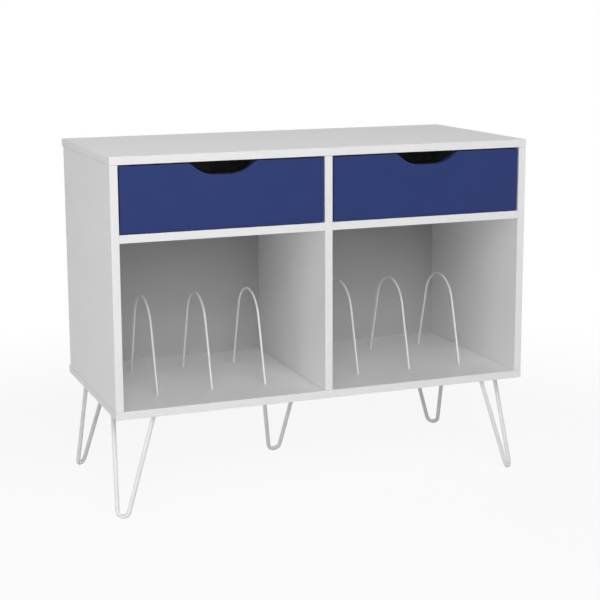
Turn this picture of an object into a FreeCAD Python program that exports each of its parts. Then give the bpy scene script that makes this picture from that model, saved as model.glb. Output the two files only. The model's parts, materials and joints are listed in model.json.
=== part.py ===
import FreeCAD, Part
import os
from math import acos, atan2, hypot, pi, sqrt

import Sketcher
from FreeCAD import Placement, Rotation, Vector

# Turntable stand: a wide cabinet with two open record bays, an inset drawer above each bay,
# wire record dividers and five hairpin legs.
# Millimetres. +Z is up, the front faces -Y, and the origin is on the floor under the centre.

SIZES = {
    # Carcass: 18 mm laminated board, with a thin back nailed on between the overhangs.
    "overall_width": 1000,
    "overall_depth": 465,
    "board": 18,
    "bay_height": 371,
    "drawer_opening": 150,
    "side_depth": 451,
    "back_thickness": 3,
    "back_margin": 1,
    "edge_radius": 0.6,
    # Record dividers: bent wire arches that stand in holes in the bay floors.
    "divider_wire": 5,
    "divider_height": 206,
    "divider_bend": 75,
    "divider_foot_offset": 115,
    "divider_foot_bend": 10,
    "divider_peg": 12,
    "divider_pitch_left": 130,
    "divider_pitch_right": 135,
    "divider_shift_right": 10,
    # Hairpin legs: one bent rod each, welded to a plate that is screwed under the cabinet.
    "leg_height": 233,
    "rod": 10,
    "leg_bend": 15.5,
    "rod_spread": 106,
    "leg_reach": 58.4,
    "leg_inset_side": 15,
    "leg_inset_front": 25,
    "middle_foot_back": 372,
    "plate_thickness": 3,
    "plate_long": 130,
    "plate_short": 60,
    "plate_outer": 8,
    "plate_inner": 40,
    "plate_corner": 6,
    "plate_wide_hole": 34,
    "plate_wide_hole_in": 6,
    "plate_near_hole": 18,
    "plate_near_hole_in": 30,
    # Drawer fronts, set into their openings, each with a scoop in its top edge as a grip.
    "front_side_gap": 3,
    "front_top_gap": 3,
    "front_bottom_gap": 2,
    "front_recess": 2,
    "scoop_width": 162,
    "scoop_flat": 36,
    "scoop_depth": 27,
    "scoop_bend": 70,
    "scoop_corner": 10,
    # Drawer boxes.
    "slide_gap": 12.5,
    "drawer_side": 12,
    "drawer_side_height": 112,
    "drawer_length": 400,
    "drawer_back_inset": 4,
    "drawer_bottom": 4,
    "drawer_bottom_lift": 10,
    "groove_depth": 6,
    "groove_play": 0.1,
    # Roller slides, one pair to each drawer.
    "steel": 1.2,
    "rail_lift": 8,
    "rail_height": 20.4,
    "rail_flange": 10,
    "rail_set_back": 21,
    "rail_length": 400,
    "runner_gap": 1,
    "drawer_lift": 4,
    "roller": 17,
    "roller_width": 7.4,
    "roller_edge": 0.8,
    "roller_hub": 7,
    "roller_dish": 1.5,
    "roller_rim": 2.5,
    "roller_play": 0.3,
    "roller_side_play": 0.5,
    "roller_from_end": 12,
    "flange_notch": 24,
    "pin": 4,
    "pin_length": 9.4,
    "pin_head": 7,
    "pin_head_thickness": 0.8,
    # Fasteners and where they stand, measured back from the front edge.
    "clearance": 0.1,
    "hole_end": 0.5,
    "cam_front": 60,
    "cam_rear": 390,
    "dowel_front": 130,
    "dowel_rear": 330,
    "shelf_dowel_back": 225,
    "stagger": 25,
    "screw_front": 50,
    "screw_middle": 225,
    "screw_rear": 410,
    "cam": 15,
    "cam_thickness": 12,
    "cam_set_back": 34,
    "cam_slot_length": 9,
    "cam_slot_width": 1.6,
    "cam_slot_depth": 2,
    "bolt_thread": 5,
    "bolt_thread_length": 11,
    "bolt_shank": 6,
    "bolt_shank_length": 24,
    "bolt_neck": 4,
    "bolt_neck_end": 31,
    "bolt_head": 5.4,
    "bolt_end": 37,
    "dowel": 8,
    "dowel_length": 30,
    "dowel_chamfer": 1,
    "dowel_in_panel": 10,
    "dowel_in_face": 9,
    "panel_screw": 5,
    "panel_screw_head": 10,
    "panel_screw_length": 50,
    "leg_screw": 4,
    "leg_screw_head": 8,
    "leg_screw_length": 16,
    "rail_screw": 3.5,
    "rail_screw_head": 6.5,
    "rail_screw_length": 9,
    "rail_screw_first": 60,
    "rail_screw_pitch": 145,
    "nail": 1.4,
    "nail_head": 3.2,
    "nail_head_thickness": 0.8,
    "nail_length": 20,
    "nail_first": 40,
    "nail_pitch": 115,
    "small_dowel": 6,
    "small_dowel_length": 24,
    "small_dowel_in_front": 11,
    "small_dowel_in_side": 8,
    "small_dowel_low": 35,
    "small_dowel_high": 90,
}

FRONT = "(-Sizes.overall_depth / 2)"
LEFT = "(-Sizes.overall_width / 2)"
BAY_FLOOR = "(Sizes.leg_height + Sizes.board)"
UPRIGHT_HEIGHT = "(Sizes.bay_height + Sizes.board + Sizes.drawer_opening)"
SHELF_UNDERSIDE = f"({BAY_FLOOR} + Sizes.bay_height)"
SHELF_TOP = f"({SHELF_UNDERSIDE} + Sizes.board)"
TOP_UNDERSIDE = f"({BAY_FLOOR} + {UPRIGHT_HEIGHT})"
BAY_WIDTH = "((Sizes.overall_width - 3 * Sizes.board) / 2)"
BAY_LEFT = {"left": f"({LEFT} + Sizes.board)", "right": "(Sizes.board / 2)"}
BAYS = ("left", "right")

CAM_PLACES = ("Sizes.cam_front", "Sizes.cam_rear")
DOWEL_PLACES = ("Sizes.dowel_front", "Sizes.dowel_rear")
SCREW_PLACES = ("Sizes.screw_front", "Sizes.screw_middle", "Sizes.screw_rear")
UPRIGHT_MIDDLES = ("Sizes.board / 2", "Sizes.overall_width / 2", "Sizes.overall_width - Sizes.board / 2")
RAIL_SCREW_STEPS = range(3)
NAIL_STEPS = range(5)
SHELF_NAIL_SHARES = (0.25, 0.75)

# Volumes in cubic millimetres and lengths in millimetres that count as nothing.
NO_VOLUME = 1e-3
NO_LENGTH = 1e-6

# How to turn a fastener, drawn pointing up, so that it points along a given direction.
POINTING = {
    "+X": Rotation(Vector(0, 1, 0), 90),
    "-X": Rotation(Vector(0, 1, 0), -90),
    "+Y": Rotation(Vector(1, 0, 0), -90),
    "-Y": Rotation(Vector(1, 0, 0), 90),
    "+Z": Rotation(),
}

PLANE_ACROSS = {"X": "YZ_Plane", "Y": "XZ_Plane", "Z": "XY_Plane"}

doc = FreeCAD.newDocument("turntable_stand")
sheet = doc.addObject("Spreadsheet::Sheet", "Sizes")
for row, (alias, millimetres) in enumerate(SIZES.items(), start=1):
    sheet.set(f"A{row}", alias)
    sheet.set(f"B{row}", str(millimetres))
    sheet.setAlias(f"B{row}", alias)
doc.recompute()

subparts = []


# Helpers for bodies, sketches and features

def number(expression):
    """The present value of an expression on the sheet."""
    result = sheet.evalExpression(str(expression))
    return float(getattr(result, "Value", result))


def put(item, place):
    """Tie the place of an object to three expressions."""
    for axis, expression in zip("xyz", place):
        item.setExpression(f"Placement.Base.{axis}", str(expression))


def new_body(name, place=("0", "0", "0"), turn=0):
    """A body at a place, turned about its own upright axis by a number of degrees."""
    piece = doc.addObject("PartDesign::Body", name)
    piece.Label = name
    piece.Placement = Placement(Vector(), Rotation(Vector(0, 0, 1), turn))
    put(piece, place)
    return piece


def origin_plane(piece, across):
    """The body's own origin plane that is square to an axis."""
    role = PLANE_ACROSS[across]
    return next(item for item in piece.Origin.OriginFeatures if item.Role == role)


def new_sketch(piece, name, across, offset="0"):
    """A sketch square to an axis of the body, at a distance along that axis."""
    sketch = piece.newObject("Sketcher::SketchObject", f"{piece.Name}_{name}_sketch")
    sketch.AttachmentSupport = [(origin_plane(piece, across), "")]
    sketch.MapMode = "FlatFace"
    sign = "-" if across == "Y" else ""
    sketch.setExpression("AttachmentOffset.Base.z", f"{sign}({offset})")
    return sketch


def constrain(sketch, expression, kind, *elements):
    """A dimension in a sketch that follows an expression."""
    index = sketch.addConstraint(Sketcher.Constraint(kind, *elements, number(expression)))
    sketch.setExpression(f"Constraints[{index}]", str(expression))


def pin(sketch, geometry, point, x, y):
    """Hold one point of a sketch at two expressions, or on an axis where one of them is nil."""
    for kind, expression, axis in (("DistanceX", x, -2), ("DistanceY", y, -1)):
        if abs(number(expression)) < NO_LENGTH:
            sketch.addConstraint(Sketcher.Constraint("PointOnObject", geometry, point, axis))
        else:
            constrain(sketch, expression, kind, -1, 1, geometry, point)


def polygon(sketch, corners):
    """A closed outline with straight sides."""
    points = [Vector(number(x), number(y), 0) for x, y in corners]
    for here, after in zip(points, points[1:] + points[:1]):
        sketch.addGeometry(Part.LineSegment(here, after))
    for index, (x, y) in enumerate(corners):
        following = (index + 1) % len(corners)
        sketch.addConstraint(Sketcher.Constraint("Coincident", index, 2, following, 1))
        pin(sketch, index, 1, x, y)


def rectangle(sketch, x_low, y_low, x_high, y_high):
    polygon(sketch, [(x_low, y_low), (x_high, y_low), (x_high, y_high), (x_low, y_high)])


def circles(sketch, centres, diameter):
    for x, y in centres:
        circle = Part.Circle(Vector(number(x), number(y), 0), Vector(0, 0, 1), number(diameter) / 2)
        geometry = sketch.addGeometry(circle)
        pin(sketch, geometry, 3, x, y)
        constrain(sketch, diameter, "Diameter", geometry)


def extrude(piece, name, sketch, across, length, towards=1):
    """Raise a sketch along an axis, towards its high end (1) or its low end (-1)."""
    feature = piece.newObject("PartDesign::Pad", f"{piece.Name}_{name}")
    feature.Profile = sketch
    feature.setExpression("Length", length)
    feature.Reversed = (towards > 0) == (across == "Y")
    doc.recompute()
    return feature


def check_cut(piece, before, name):
    """A cut that points away from the solid removes nothing and gives no error of its own."""
    if piece.Shape.Volume > before - NO_VOLUME:
        raise RuntimeError(f"{piece.Label}: {name} removes nothing")


def cut(piece, name, sketch, across, depth, towards):
    """Sink a sketch into the body along an axis, towards its high or its low end."""
    before = piece.Shape.Volume
    feature = piece.newObject("PartDesign::Pocket", f"{piece.Name}_{name}")
    feature.Profile = sketch
    feature.setExpression("Length", depth)
    feature.Reversed = (towards > 0) == (across != "Y")
    doc.recompute()
    check_cut(piece, before, name)


def drill(piece, name, across, offset, towards, centres, diameter, depth):
    """Flat-bottomed holes of one size, with a little clearance on the diameter."""
    sketch = new_sketch(piece, name, across, offset)
    circles(sketch, centres, f"{diameter} + Sizes.clearance")
    cut(piece, name, sketch, across, depth, towards)


def countersink(piece, name, across, offset, towards, centres, diameter, head, angle="90"):
    """Through holes with a conical seat for a flat screw head."""
    before = piece.Shape.Volume
    sketch = new_sketch(piece, name, across, offset)
    circles(sketch, centres, diameter)
    doc.recompute()
    feature = piece.newObject("PartDesign::Hole", f"{piece.Name}_{name}")
    feature.Profile = sketch
    doc.recompute()
    feature.ThreadType = "None"
    feature.DepthType = "ThroughAll"
    feature.HoleCutType = "Countersink"
    feature.setExpression("Diameter", f"{diameter} + Sizes.clearance")
    feature.setExpression("HoleCutDiameter", f"{head} + 2 * Sizes.clearance")
    feature.setExpression("HoleCutCountersinkAngle", angle)
    feature.Reversed = (towards > 0) == (across != "Y")
    doc.recompute()
    check_cut(piece, before, name)


def round_edges(piece, feature, radius, wanted=lambda edge: True):
    """Round the edges of a feature that pass a test."""
    names = [f"Edge{n}" for n, edge in enumerate(feature.Shape.Edges, start=1) if wanted(edge)]
    rounding = piece.newObject("PartDesign::Fillet", f"{piece.Name}_rounded")
    rounding.Base = (feature, names)
    rounding.setExpression("Radius", radius)
    doc.recompute()


def board(name, place, size):
    """A flat board with its lowest corner at a place and all its edges lightly rounded."""
    piece = new_body(name, place)
    sketch = new_sketch(piece, "outline", "Z")
    rectangle(sketch, "0", "0", size[0], size[1])
    block = extrude(piece, "block", sketch, "Z", size[2])
    round_edges(piece, block, "Sizes.edge_radius")
    subparts.append(piece)
    return piece


def turned(name, profile):
    """A solid turned about its upright axis from an outline of radii and heights."""
    piece = new_body(name)
    sketch = new_sketch(piece, "profile", "Y")
    polygon(sketch, profile)
    feature = piece.newObject("PartDesign::Revolution", f"{name}_turned")
    feature.Profile = sketch
    feature.ReferenceAxis = (sketch, ["V_Axis"])
    feature.Angle = 360
    doc.recompute()
    return piece


def group(name, pattern, places):
    """Alike fasteners as separate solids in one sub-part: places are (x, y, z, rotation)."""
    copies = []
    for index, (x, y, z, rotation) in enumerate(places, start=1):
        copy = doc.addObject("App::Link", f"{name}_{index}")
        copy.LinkedObject = pattern
        copy.Placement = Placement(Vector(), rotation)
        put(copy, (x, y, z))
        copies.append(copy)
    pieces = doc.addObject("Part::Compound", name)
    pieces.Label = name
    pieces.Links = copies
    subparts.append(pieces)


def grid(columns, rows):
    return [(column, row) for column in columns for row in rows]


def back_from_front(distance):
    """The Y of a place that is measured back from the front edge."""
    return f"{FRONT} + {distance}"


# Fastener patterns, each drawn pointing up from the face where it starts

def countersunk_screw(name, screw, head_height):
    """A flat-headed screw whose head ends at the height where its cone meets the shank."""
    return turned(name, [
        ("0", "0"),
        (f"Sizes.{screw}_head / 2", "0"),
        (f"Sizes.{screw} / 2", head_height),
        (f"Sizes.{screw} / 2", f"Sizes.{screw}_length"),
        ("0", f"Sizes.{screw}_length"),
    ])


def chamfered_dowel(name, dowel):
    radius = f"Sizes.{dowel} / 2"
    narrow = f"Sizes.{dowel} / 2 - Sizes.dowel_chamfer"
    length = f"Sizes.{dowel}_length"
    return turned(name, [
        ("0", "0"),
        (narrow, "0"),
        (radius, "Sizes.dowel_chamfer"),
        (radius, f"{length} - Sizes.dowel_chamfer"),
        (narrow, length),
        ("0", length),
    ])


def cam_bolt():
    """Threaded above the joint, with a necked head below it that the cam grips."""
    return turned("cam_bolt_pattern", [
        ("0", "-Sizes.bolt_end"),
        ("Sizes.bolt_head / 2", "-Sizes.bolt_end"),
        ("Sizes.bolt_head / 2", "-(Sizes.bolt_neck_end + Sizes.bolt_end) / 2"),
        ("Sizes.bolt_neck / 2", "-Sizes.bolt_neck_end"),
        ("Sizes.bolt_neck / 2", "-Sizes.bolt_shank_length"),
        ("Sizes.bolt_shank / 2", "-Sizes.bolt_shank_length"),
        ("Sizes.bolt_shank / 2", "0"),
        ("Sizes.bolt_thread / 2", "0"),
        ("Sizes.bolt_thread / 2", "Sizes.bolt_thread_length"),
        ("0", "Sizes.bolt_thread_length"),
    ])


def cam_lock():
    """A short drum with its slotted face up and a mouth for the bolt on its -X side."""
    drum = turned("cam_lock_pattern", [
        ("0", "-Sizes.cam_thickness"),
        ("Sizes.cam / 2", "-Sizes.cam_thickness"),
        ("Sizes.cam / 2", "0"),
        ("0", "0"),
    ])
    mouth = new_sketch(drum, "mouth", "X", "-Sizes.cam")
    circles(mouth, [("0", "-Sizes.board / 2")], "Sizes.bolt_head + 3 * Sizes.clearance")
    cut(drum, "mouth", mouth, "X", "Sizes.cam + (Sizes.bolt_end - Sizes.cam_set_back) + Sizes.hole_end", 1)
    long_half = "Sizes.cam_slot_length / 2"
    short_half = "Sizes.cam_slot_width / 2"
    for name, half_x, half_y in (("slot", long_half, short_half), ("cross_slot", short_half, long_half)):
        slot = new_sketch(drum, name, "Z")
        rectangle(slot, f"-{half_x}", f"-{half_y}", half_x, half_y)
        cut(drum, name, slot, "Z", "Sizes.cam_slot_depth", -1)
    return drum


panel_screw = countersunk_screw(
    "panel_screw_pattern", "panel_screw", "(Sizes.panel_screw_head - Sizes.panel_screw) / 2")
leg_screw = countersunk_screw(
    "leg_screw_pattern", "leg_screw", "(Sizes.leg_screw_head - Sizes.leg_screw) / 2")
rail_screw = countersunk_screw("rail_screw_pattern", "rail_screw", "Sizes.steel")
RAIL_SCREW_ANGLE = "2 * atan((Sizes.rail_screw_head - Sizes.rail_screw) / 2 / Sizes.steel)"
panel_dowel = chamfered_dowel("panel_dowel_pattern", "dowel")
drawer_dowel = chamfered_dowel("drawer_dowel_pattern", "small_dowel")
bolt = cam_bolt()
cam = cam_lock()
nail = turned("nail_pattern", [
    ("0", "-Sizes.nail_head_thickness"),
    ("Sizes.nail_head / 2", "-Sizes.nail_head_thickness"),
    ("Sizes.nail_head / 2", "0"),
    ("Sizes.nail / 2", "0"),
    ("Sizes.nail / 2", "Sizes.nail_length"),
    ("0", "Sizes.nail_length"),
])
roller_pin = turned("roller_pin_pattern", [
    ("0", "0"),
    ("Sizes.pin / 2", "0"),
    ("Sizes.pin / 2", "Sizes.pin_length"),
    ("Sizes.pin_head / 2", "Sizes.pin_length"),
    ("Sizes.pin_head / 2", "Sizes.pin_length + Sizes.pin_head_thickness"),
    ("0", "Sizes.pin_length + Sizes.pin_head_thickness"),
])


# Where the dividers, legs, shelf joints and slides stand

def divider_places(bay):
    """Distances of a bay's three record dividers from the bay's left wall."""
    shift = "Sizes.divider_shift_right" if bay == "right" else "0"
    return [f"{BAY_WIDTH} / 2 + {shift} + ({step}) * Sizes.divider_pitch_{bay}" for step in (-1, 0, 1)]


LEG_SIDE = "(Sizes.overall_width / 2 - Sizes.leg_inset_side)"
LEG_FRONT = "(Sizes.overall_depth / 2 - Sizes.leg_inset_front)"
# Each leg leans from its foot towards the middle: foot X, foot Y, turn about the upright axis.
LEGS = {
    "front_left_leg": (f"-{LEG_SIDE}", f"-{LEG_FRONT}", -45),
    "front_right_leg": (LEG_SIDE, f"-{LEG_FRONT}", 45),
    "back_left_leg": (f"-{LEG_SIDE}", LEG_FRONT, -135),
    "back_right_leg": (LEG_SIDE, LEG_FRONT, 135),
    "back_middle_leg": ("0", back_from_front("Sizes.middle_foot_back"), 180),
}
LEG_RISE = "(Sizes.leg_height - Sizes.rod / 2)"
PLATE_HOLES = [
    ("-Sizes.plate_wide_hole", "(Sizes.leg_reach + Sizes.plate_wide_hole_in)"),
    ("Sizes.plate_wide_hole", "(Sizes.leg_reach + Sizes.plate_wide_hole_in)"),
    ("-Sizes.plate_near_hole", "(Sizes.leg_reach + Sizes.plate_near_hole_in)"),
    ("Sizes.plate_near_hole", "(Sizes.leg_reach + Sizes.plate_near_hole_in)"),
]


def leg_screw_places():
    """X and Y of every leg screw."""
    places = []
    for foot_x, foot_y, turn in LEGS.values():
        for across, along in PLATE_HOLES:
            x = f"{foot_x} + {across} * cos({turn}) - {along} * sin({turn})"
            y = f"{foot_y} + {across} * sin({turn}) + {along} * cos({turn})"
            places.append((x, y))
    return places


def shelf_stagger(bay, end):
    """Both shelves meet the centre divider, so the right shelf's joints there are set further back."""
    return "Sizes.stagger" if (bay, end) == ("right", "left") else "0"


def shelf_bolts(bay, end):
    return [f"{place} + {shelf_stagger(bay, end)}" for place in CAM_PLACES]


def shelf_dowel(bay, end):
    return f"Sizes.shelf_dowel_back + {shelf_stagger(bay, end)}"


RAIL_MIDDLE = "(Sizes.rail_lift + Sizes.rail_height / 2)"
RAIL_SCREWS_ALONG = [f"Sizes.rail_screw_first + {step} * Sizes.rail_screw_pitch" for step in RAIL_SCREW_STEPS]
# The drawer hangs on its rail's outer flange, which runs over the front roller.
RUNNER = "(Sizes.rail_height + Sizes.runner_gap)"
FRONT_ROLLER_HEIGHT = f"({RUNNER} - Sizes.roller_play - Sizes.roller / 2)"
REAR_ROLLER_HEIGHT = "(Sizes.steel + Sizes.roller_play + Sizes.roller / 2)"
FRONT_BACK = "(Sizes.front_recess + Sizes.board)"
DRAWER_BASE = f"({SHELF_TOP} + Sizes.rail_lift + Sizes.drawer_lift)"


# Carcass

def make_bottom_panel():
    panel = board("bottom_panel", (LEFT, FRONT, "Sizes.leg_height"),
                  ("Sizes.overall_width", "Sizes.overall_depth", "Sizes.board"))
    drill(panel, "dowel_holes", "Z", "Sizes.board", -1, grid(UPRIGHT_MIDDLES, DOWEL_PLACES),
          "Sizes.dowel", "Sizes.dowel_in_panel + Sizes.hole_end")
    feet = [f"Sizes.side_depth / 2 {sign} Sizes.divider_foot_offset" for sign in "-+"]
    for bay in BAYS:
        columns = [f"{BAY_LEFT[bay]} - {LEFT} + {place}" for place in divider_places(bay)]
        drill(panel, f"{bay}_divider_holes", "Z", "Sizes.board", -1, grid(columns, feet),
              "Sizes.divider_wire", "Sizes.divider_peg + Sizes.hole_end")
    countersink(panel, "screw_holes", "Z", "0", 1, grid(UPRIGHT_MIDDLES, SCREW_PLACES),
                "Sizes.panel_screw", "Sizes.panel_screw_head")
    pilots = [(f"{x} - {LEFT}", f"{y} - {FRONT}") for x, y in leg_screw_places()]
    drill(panel, "leg_pilots", "Z", "0", 1, pilots, "Sizes.leg_screw",
          "Sizes.leg_screw_length - Sizes.plate_thickness + Sizes.hole_end")


def make_top_panel():
    panel = board("top_panel", (LEFT, FRONT, TOP_UNDERSIDE),
                  ("Sizes.overall_width", "Sizes.overall_depth", "Sizes.board"))
    drill(panel, "bolt_holes", "Z", "0", 1, grid(UPRIGHT_MIDDLES, CAM_PLACES),
          "Sizes.bolt_thread", "Sizes.bolt_thread_length + Sizes.hole_end")
    drill(panel, "dowel_holes", "Z", "0", 1, grid(UPRIGHT_MIDDLES, DOWEL_PLACES),
          "Sizes.dowel", "Sizes.dowel_in_panel + Sizes.hole_end")


def drill_upright_ends(upright):
    """Bolts and dowels from the top panel, screws and dowels from the bottom panel."""
    middle = ["Sizes.board / 2"]
    dowel_depth = "Sizes.dowel_length - Sizes.dowel_in_panel + Sizes.hole_end"
    drill(upright, "bolt_holes", "Z", UPRIGHT_HEIGHT, -1, grid(middle, CAM_PLACES),
          "Sizes.bolt_shank", "Sizes.bolt_end + Sizes.hole_end")
    drill(upright, "top_dowel_holes", "Z", UPRIGHT_HEIGHT, -1, grid(middle, DOWEL_PLACES),
          "Sizes.dowel", dowel_depth)
    drill(upright, "bottom_dowel_holes", "Z", "0", 1, grid(middle, DOWEL_PLACES), "Sizes.dowel", dowel_depth)
    drill(upright, "screw_holes", "Z", "0", 1, grid(middle, SCREW_PLACES),
          "Sizes.panel_screw", "Sizes.panel_screw_length - Sizes.board + Sizes.hole_end")
    nails = [(middle[0], f"Sizes.nail_first + {step} * Sizes.nail_pitch") for step in NAIL_STEPS]
    drill(upright, "nail_holes", "Y", "Sizes.side_depth", -1, nails,
          "Sizes.nail", "Sizes.nail_length - Sizes.back_thickness + Sizes.hole_end")


def drill_cam_seats(upright, face, towards):
    """Seats for the cams that hold the top panel down."""
    height = f"{UPRIGHT_HEIGHT} - Sizes.cam_set_back"
    drill(upright, "cam_seats", "X", face, towards, grid(CAM_PLACES, [height]),
          "Sizes.cam", "Sizes.cam_thickness + Sizes.hole_end")


def drill_bay_face(upright, bay, end, face, towards):
    """Holes in the face of an upright for one end of a shelf and for one cabinet rail."""
    shelf_middle = "Sizes.bay_height + Sizes.board / 2"
    rail_middle = f"Sizes.bay_height + Sizes.board + {RAIL_MIDDLE}"
    drill(upright, f"{bay}_shelf_bolt_holes", "X", face, towards, grid(shelf_bolts(bay, end), [shelf_middle]),
          "Sizes.bolt_thread", "Sizes.bolt_thread_length + Sizes.hole_end")
    drill(upright, f"{bay}_shelf_dowel_hole", "X", face, towards, [(shelf_dowel(bay, end), shelf_middle)],
          "Sizes.dowel", "Sizes.dowel_in_face + Sizes.hole_end")
    along = [f"Sizes.rail_set_back + {place}" for place in RAIL_SCREWS_ALONG]
    drill(upright, f"{bay}_rail_pilots", "X", face, towards, grid(along, [rail_middle]),
          "Sizes.rail_screw", "Sizes.rail_screw_length - Sizes.steel + Sizes.hole_end")


def make_uprights():
    size = ("Sizes.board", "Sizes.side_depth", UPRIGHT_HEIGHT)
    left_side = board("left_side_panel", (LEFT, FRONT, BAY_FLOOR), size)
    drill_upright_ends(left_side)
    drill_cam_seats(left_side, "Sizes.board", -1)
    drill_bay_face(left_side, "left", "left", "Sizes.board", -1)
    right_side = board("right_side_panel", ("Sizes.overall_width / 2 - Sizes.board", FRONT, BAY_FLOOR), size)
    drill_upright_ends(right_side)
    drill_cam_seats(right_side, "0", 1)
    drill_bay_face(right_side, "right", "right", "0", 1)
    divider = board("centre_divider", ("-Sizes.board / 2", FRONT, BAY_FLOOR), size)
    drill_upright_ends(divider)
    drill_cam_seats(divider, "0", 1)
    drill_bay_face(divider, "left", "right", "0", 1)
    drill_bay_face(divider, "right", "left", "Sizes.board", -1)


def make_shelf(bay):
    shelf = board(f"{bay}_shelf", (BAY_LEFT[bay], FRONT, SHELF_UNDERSIDE),
                  (BAY_WIDTH, "Sizes.side_depth", "Sizes.board"))
    middle = "Sizes.board / 2"
    dowel_depth = "Sizes.dowel_length - Sizes.dowel_in_face + Sizes.hole_end"
    ends = (
        ("left", "0", 1, "Sizes.cam_set_back"),
        ("right", BAY_WIDTH, -1, f"{BAY_WIDTH} - Sizes.cam_set_back"),
    )
    for end, face, towards, cam_x in ends:
        drill(shelf, f"{end}_bolt_holes", "X", face, towards, grid(shelf_bolts(bay, end), [middle]),
              "Sizes.bolt_shank", "Sizes.bolt_end + Sizes.hole_end")
        drill(shelf, f"{end}_dowel_hole", "X", face, towards, [(shelf_dowel(bay, end), middle)],
              "Sizes.dowel", dowel_depth)
        drill(shelf, f"{end}_cam_seats", "Z", "Sizes.board", -1, grid([cam_x], shelf_bolts(bay, end)),
              "Sizes.cam", "Sizes.cam_thickness + Sizes.hole_end")
    nails = grid([f"{BAY_WIDTH} * {share}" for share in SHELF_NAIL_SHARES], [middle])
    drill(shelf, "nail_holes", "Y", "Sizes.side_depth", -1, nails,
          "Sizes.nail", "Sizes.nail_length - Sizes.back_thickness + Sizes.hole_end")


def nail_places():
    """X from the cabinet's left face and height above the bay floor of every nail."""
    places = grid(UPRIGHT_MIDDLES, [f"Sizes.nail_first + {step} * Sizes.nail_pitch" for step in NAIL_STEPS])
    for bay in BAYS:
        for share in SHELF_NAIL_SHARES:
            x = f"{BAY_LEFT[bay]} - {LEFT} + {BAY_WIDTH} * {share}"
            places.append((x, "Sizes.bay_height + Sizes.board / 2"))
    return places


def make_back_panel():
    place = (f"{LEFT} + Sizes.back_margin", back_from_front("Sizes.side_depth"), BAY_FLOOR)
    back = new_body("back_panel", place)
    sketch = new_sketch(back, "outline", "Y")
    rectangle(sketch, "0", "0", "Sizes.overall_width - 2 * Sizes.back_margin", UPRIGHT_HEIGHT)
    extrude(back, "sheet", sketch, "Y", "Sizes.back_thickness")
    holes = [(f"{x} - Sizes.back_margin", z) for x, z in nail_places()]
    drill(back, "nail_holes", "Y", "0", 1, holes, "Sizes.nail", "Sizes.back_thickness")
    subparts.append(back)
    rear = back_from_front("Sizes.side_depth + Sizes.back_thickness")
    group("back_panel_nails", nail,
          [(f"{LEFT} + {x}", rear, f"{BAY_FLOOR} + {z}", POINTING["-Y"]) for x, z in nail_places()])


def make_panel_fasteners():
    """Cam bolts, cams, dowels and long screws that hold the boards together."""
    uprights = [f"{LEFT} + {x}" for x in UPRIGHT_MIDDLES]
    facing_right = POINTING["+X"]
    facing_left = Rotation(Vector(0, 0, 1), 180).multiply(POINTING["+X"])
    half_turn = Rotation(Vector(0, 0, 1), 180)
    cam_faces = (
        (f"{LEFT} + Sizes.board", facing_right),
        ("-Sizes.board / 2", facing_left),
        ("Sizes.overall_width / 2 - Sizes.board", facing_left),
    )
    bolts = []
    cams = []
    dowels = []
    for x, (face, rotation) in zip(uprights, cam_faces):
        for place in CAM_PLACES:
            y = back_from_front(place)
            bolts.append((x, y, TOP_UNDERSIDE, POINTING["+Z"]))
            cams.append((face, y, f"{TOP_UNDERSIDE} - Sizes.cam_set_back", rotation))
        for place in DOWEL_PLACES:
            y = back_from_front(place)
            lower = f"{TOP_UNDERSIDE} + Sizes.dowel_in_panel - Sizes.dowel_length"
            dowels.append((x, y, lower, POINTING["+Z"]))
            dowels.append((x, y, f"{BAY_FLOOR} - Sizes.dowel_in_panel", POINTING["+Z"]))
    shelf_middle = f"{SHELF_UNDERSIDE} + Sizes.board / 2"
    for bay in BAYS:
        ends = (
            ("left", BAY_LEFT[bay], "-X", "+X", "+", POINTING["+Z"]),
            ("right", f"{BAY_LEFT[bay]} + {BAY_WIDTH}", "+X", "-X", "-", half_turn),
        )
        for end, joint, outward, inward, sign, rotation in ends:
            for place in shelf_bolts(bay, end):
                y = back_from_front(place)
                bolts.append((joint, y, shelf_middle, POINTING[outward]))
                cams.append((f"{joint} {sign} Sizes.cam_set_back", y, SHELF_TOP, rotation))
            start = f"{joint} {sign} (-Sizes.dowel_in_face)"
            dowels.append((start, back_from_front(shelf_dowel(bay, end)), shelf_middle, POINTING[inward]))
    group("cam_bolts", bolt, bolts)
    group("cam_locks", cam, cams)
    group("panel_dowels", panel_dowel, dowels)
    screws = grid(uprights, [back_from_front(place) for place in SCREW_PLACES])
    group("panel_screws", panel_screw, [(x, y, "Sizes.leg_height", POINTING["+Z"]) for x, y in screws])


# Bent wires and rods: lines and arcs of a sketch

def arc(x, y, radius, start, end):
    return Part.ArcOfCircle(Part.Circle(Vector(x, y, 0), Vector(0, 0, 1), radius), start, end)


def line(x_start, y_start, x_end, y_end):
    return Part.LineSegment(Vector(x_start, y_start, 0), Vector(x_end, y_end, 0))


def arc_to_arc(x, y, radius_difference, side):
    """The angle at which a line leaves a bend to run along another bend, which lies at (x, y) from it."""
    return atan2(y, x) + side * acos(radius_difference / hypot(x, y))


def sweep_and_mirror(piece, section, path, across):
    """Sweep a round section along half of a bent rod, then mirror the half."""
    doc.recompute()
    half = piece.newObject("PartDesign::AdditivePipe", f"{piece.Name}_half")
    half.Profile = section
    half.Spine = (path, [f"Edge{n}" for n in range(1, len(path.Shape.Edges) + 1)])
    doc.recompute()
    whole = piece.newObject("PartDesign::Mirrored", f"{piece.Name}_whole")
    whole.Originals = [half]
    whole.MirrorPlane = (origin_plane(piece, across), [""])
    piece.Tip = whole
    doc.recompute()


# Record dividers

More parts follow.
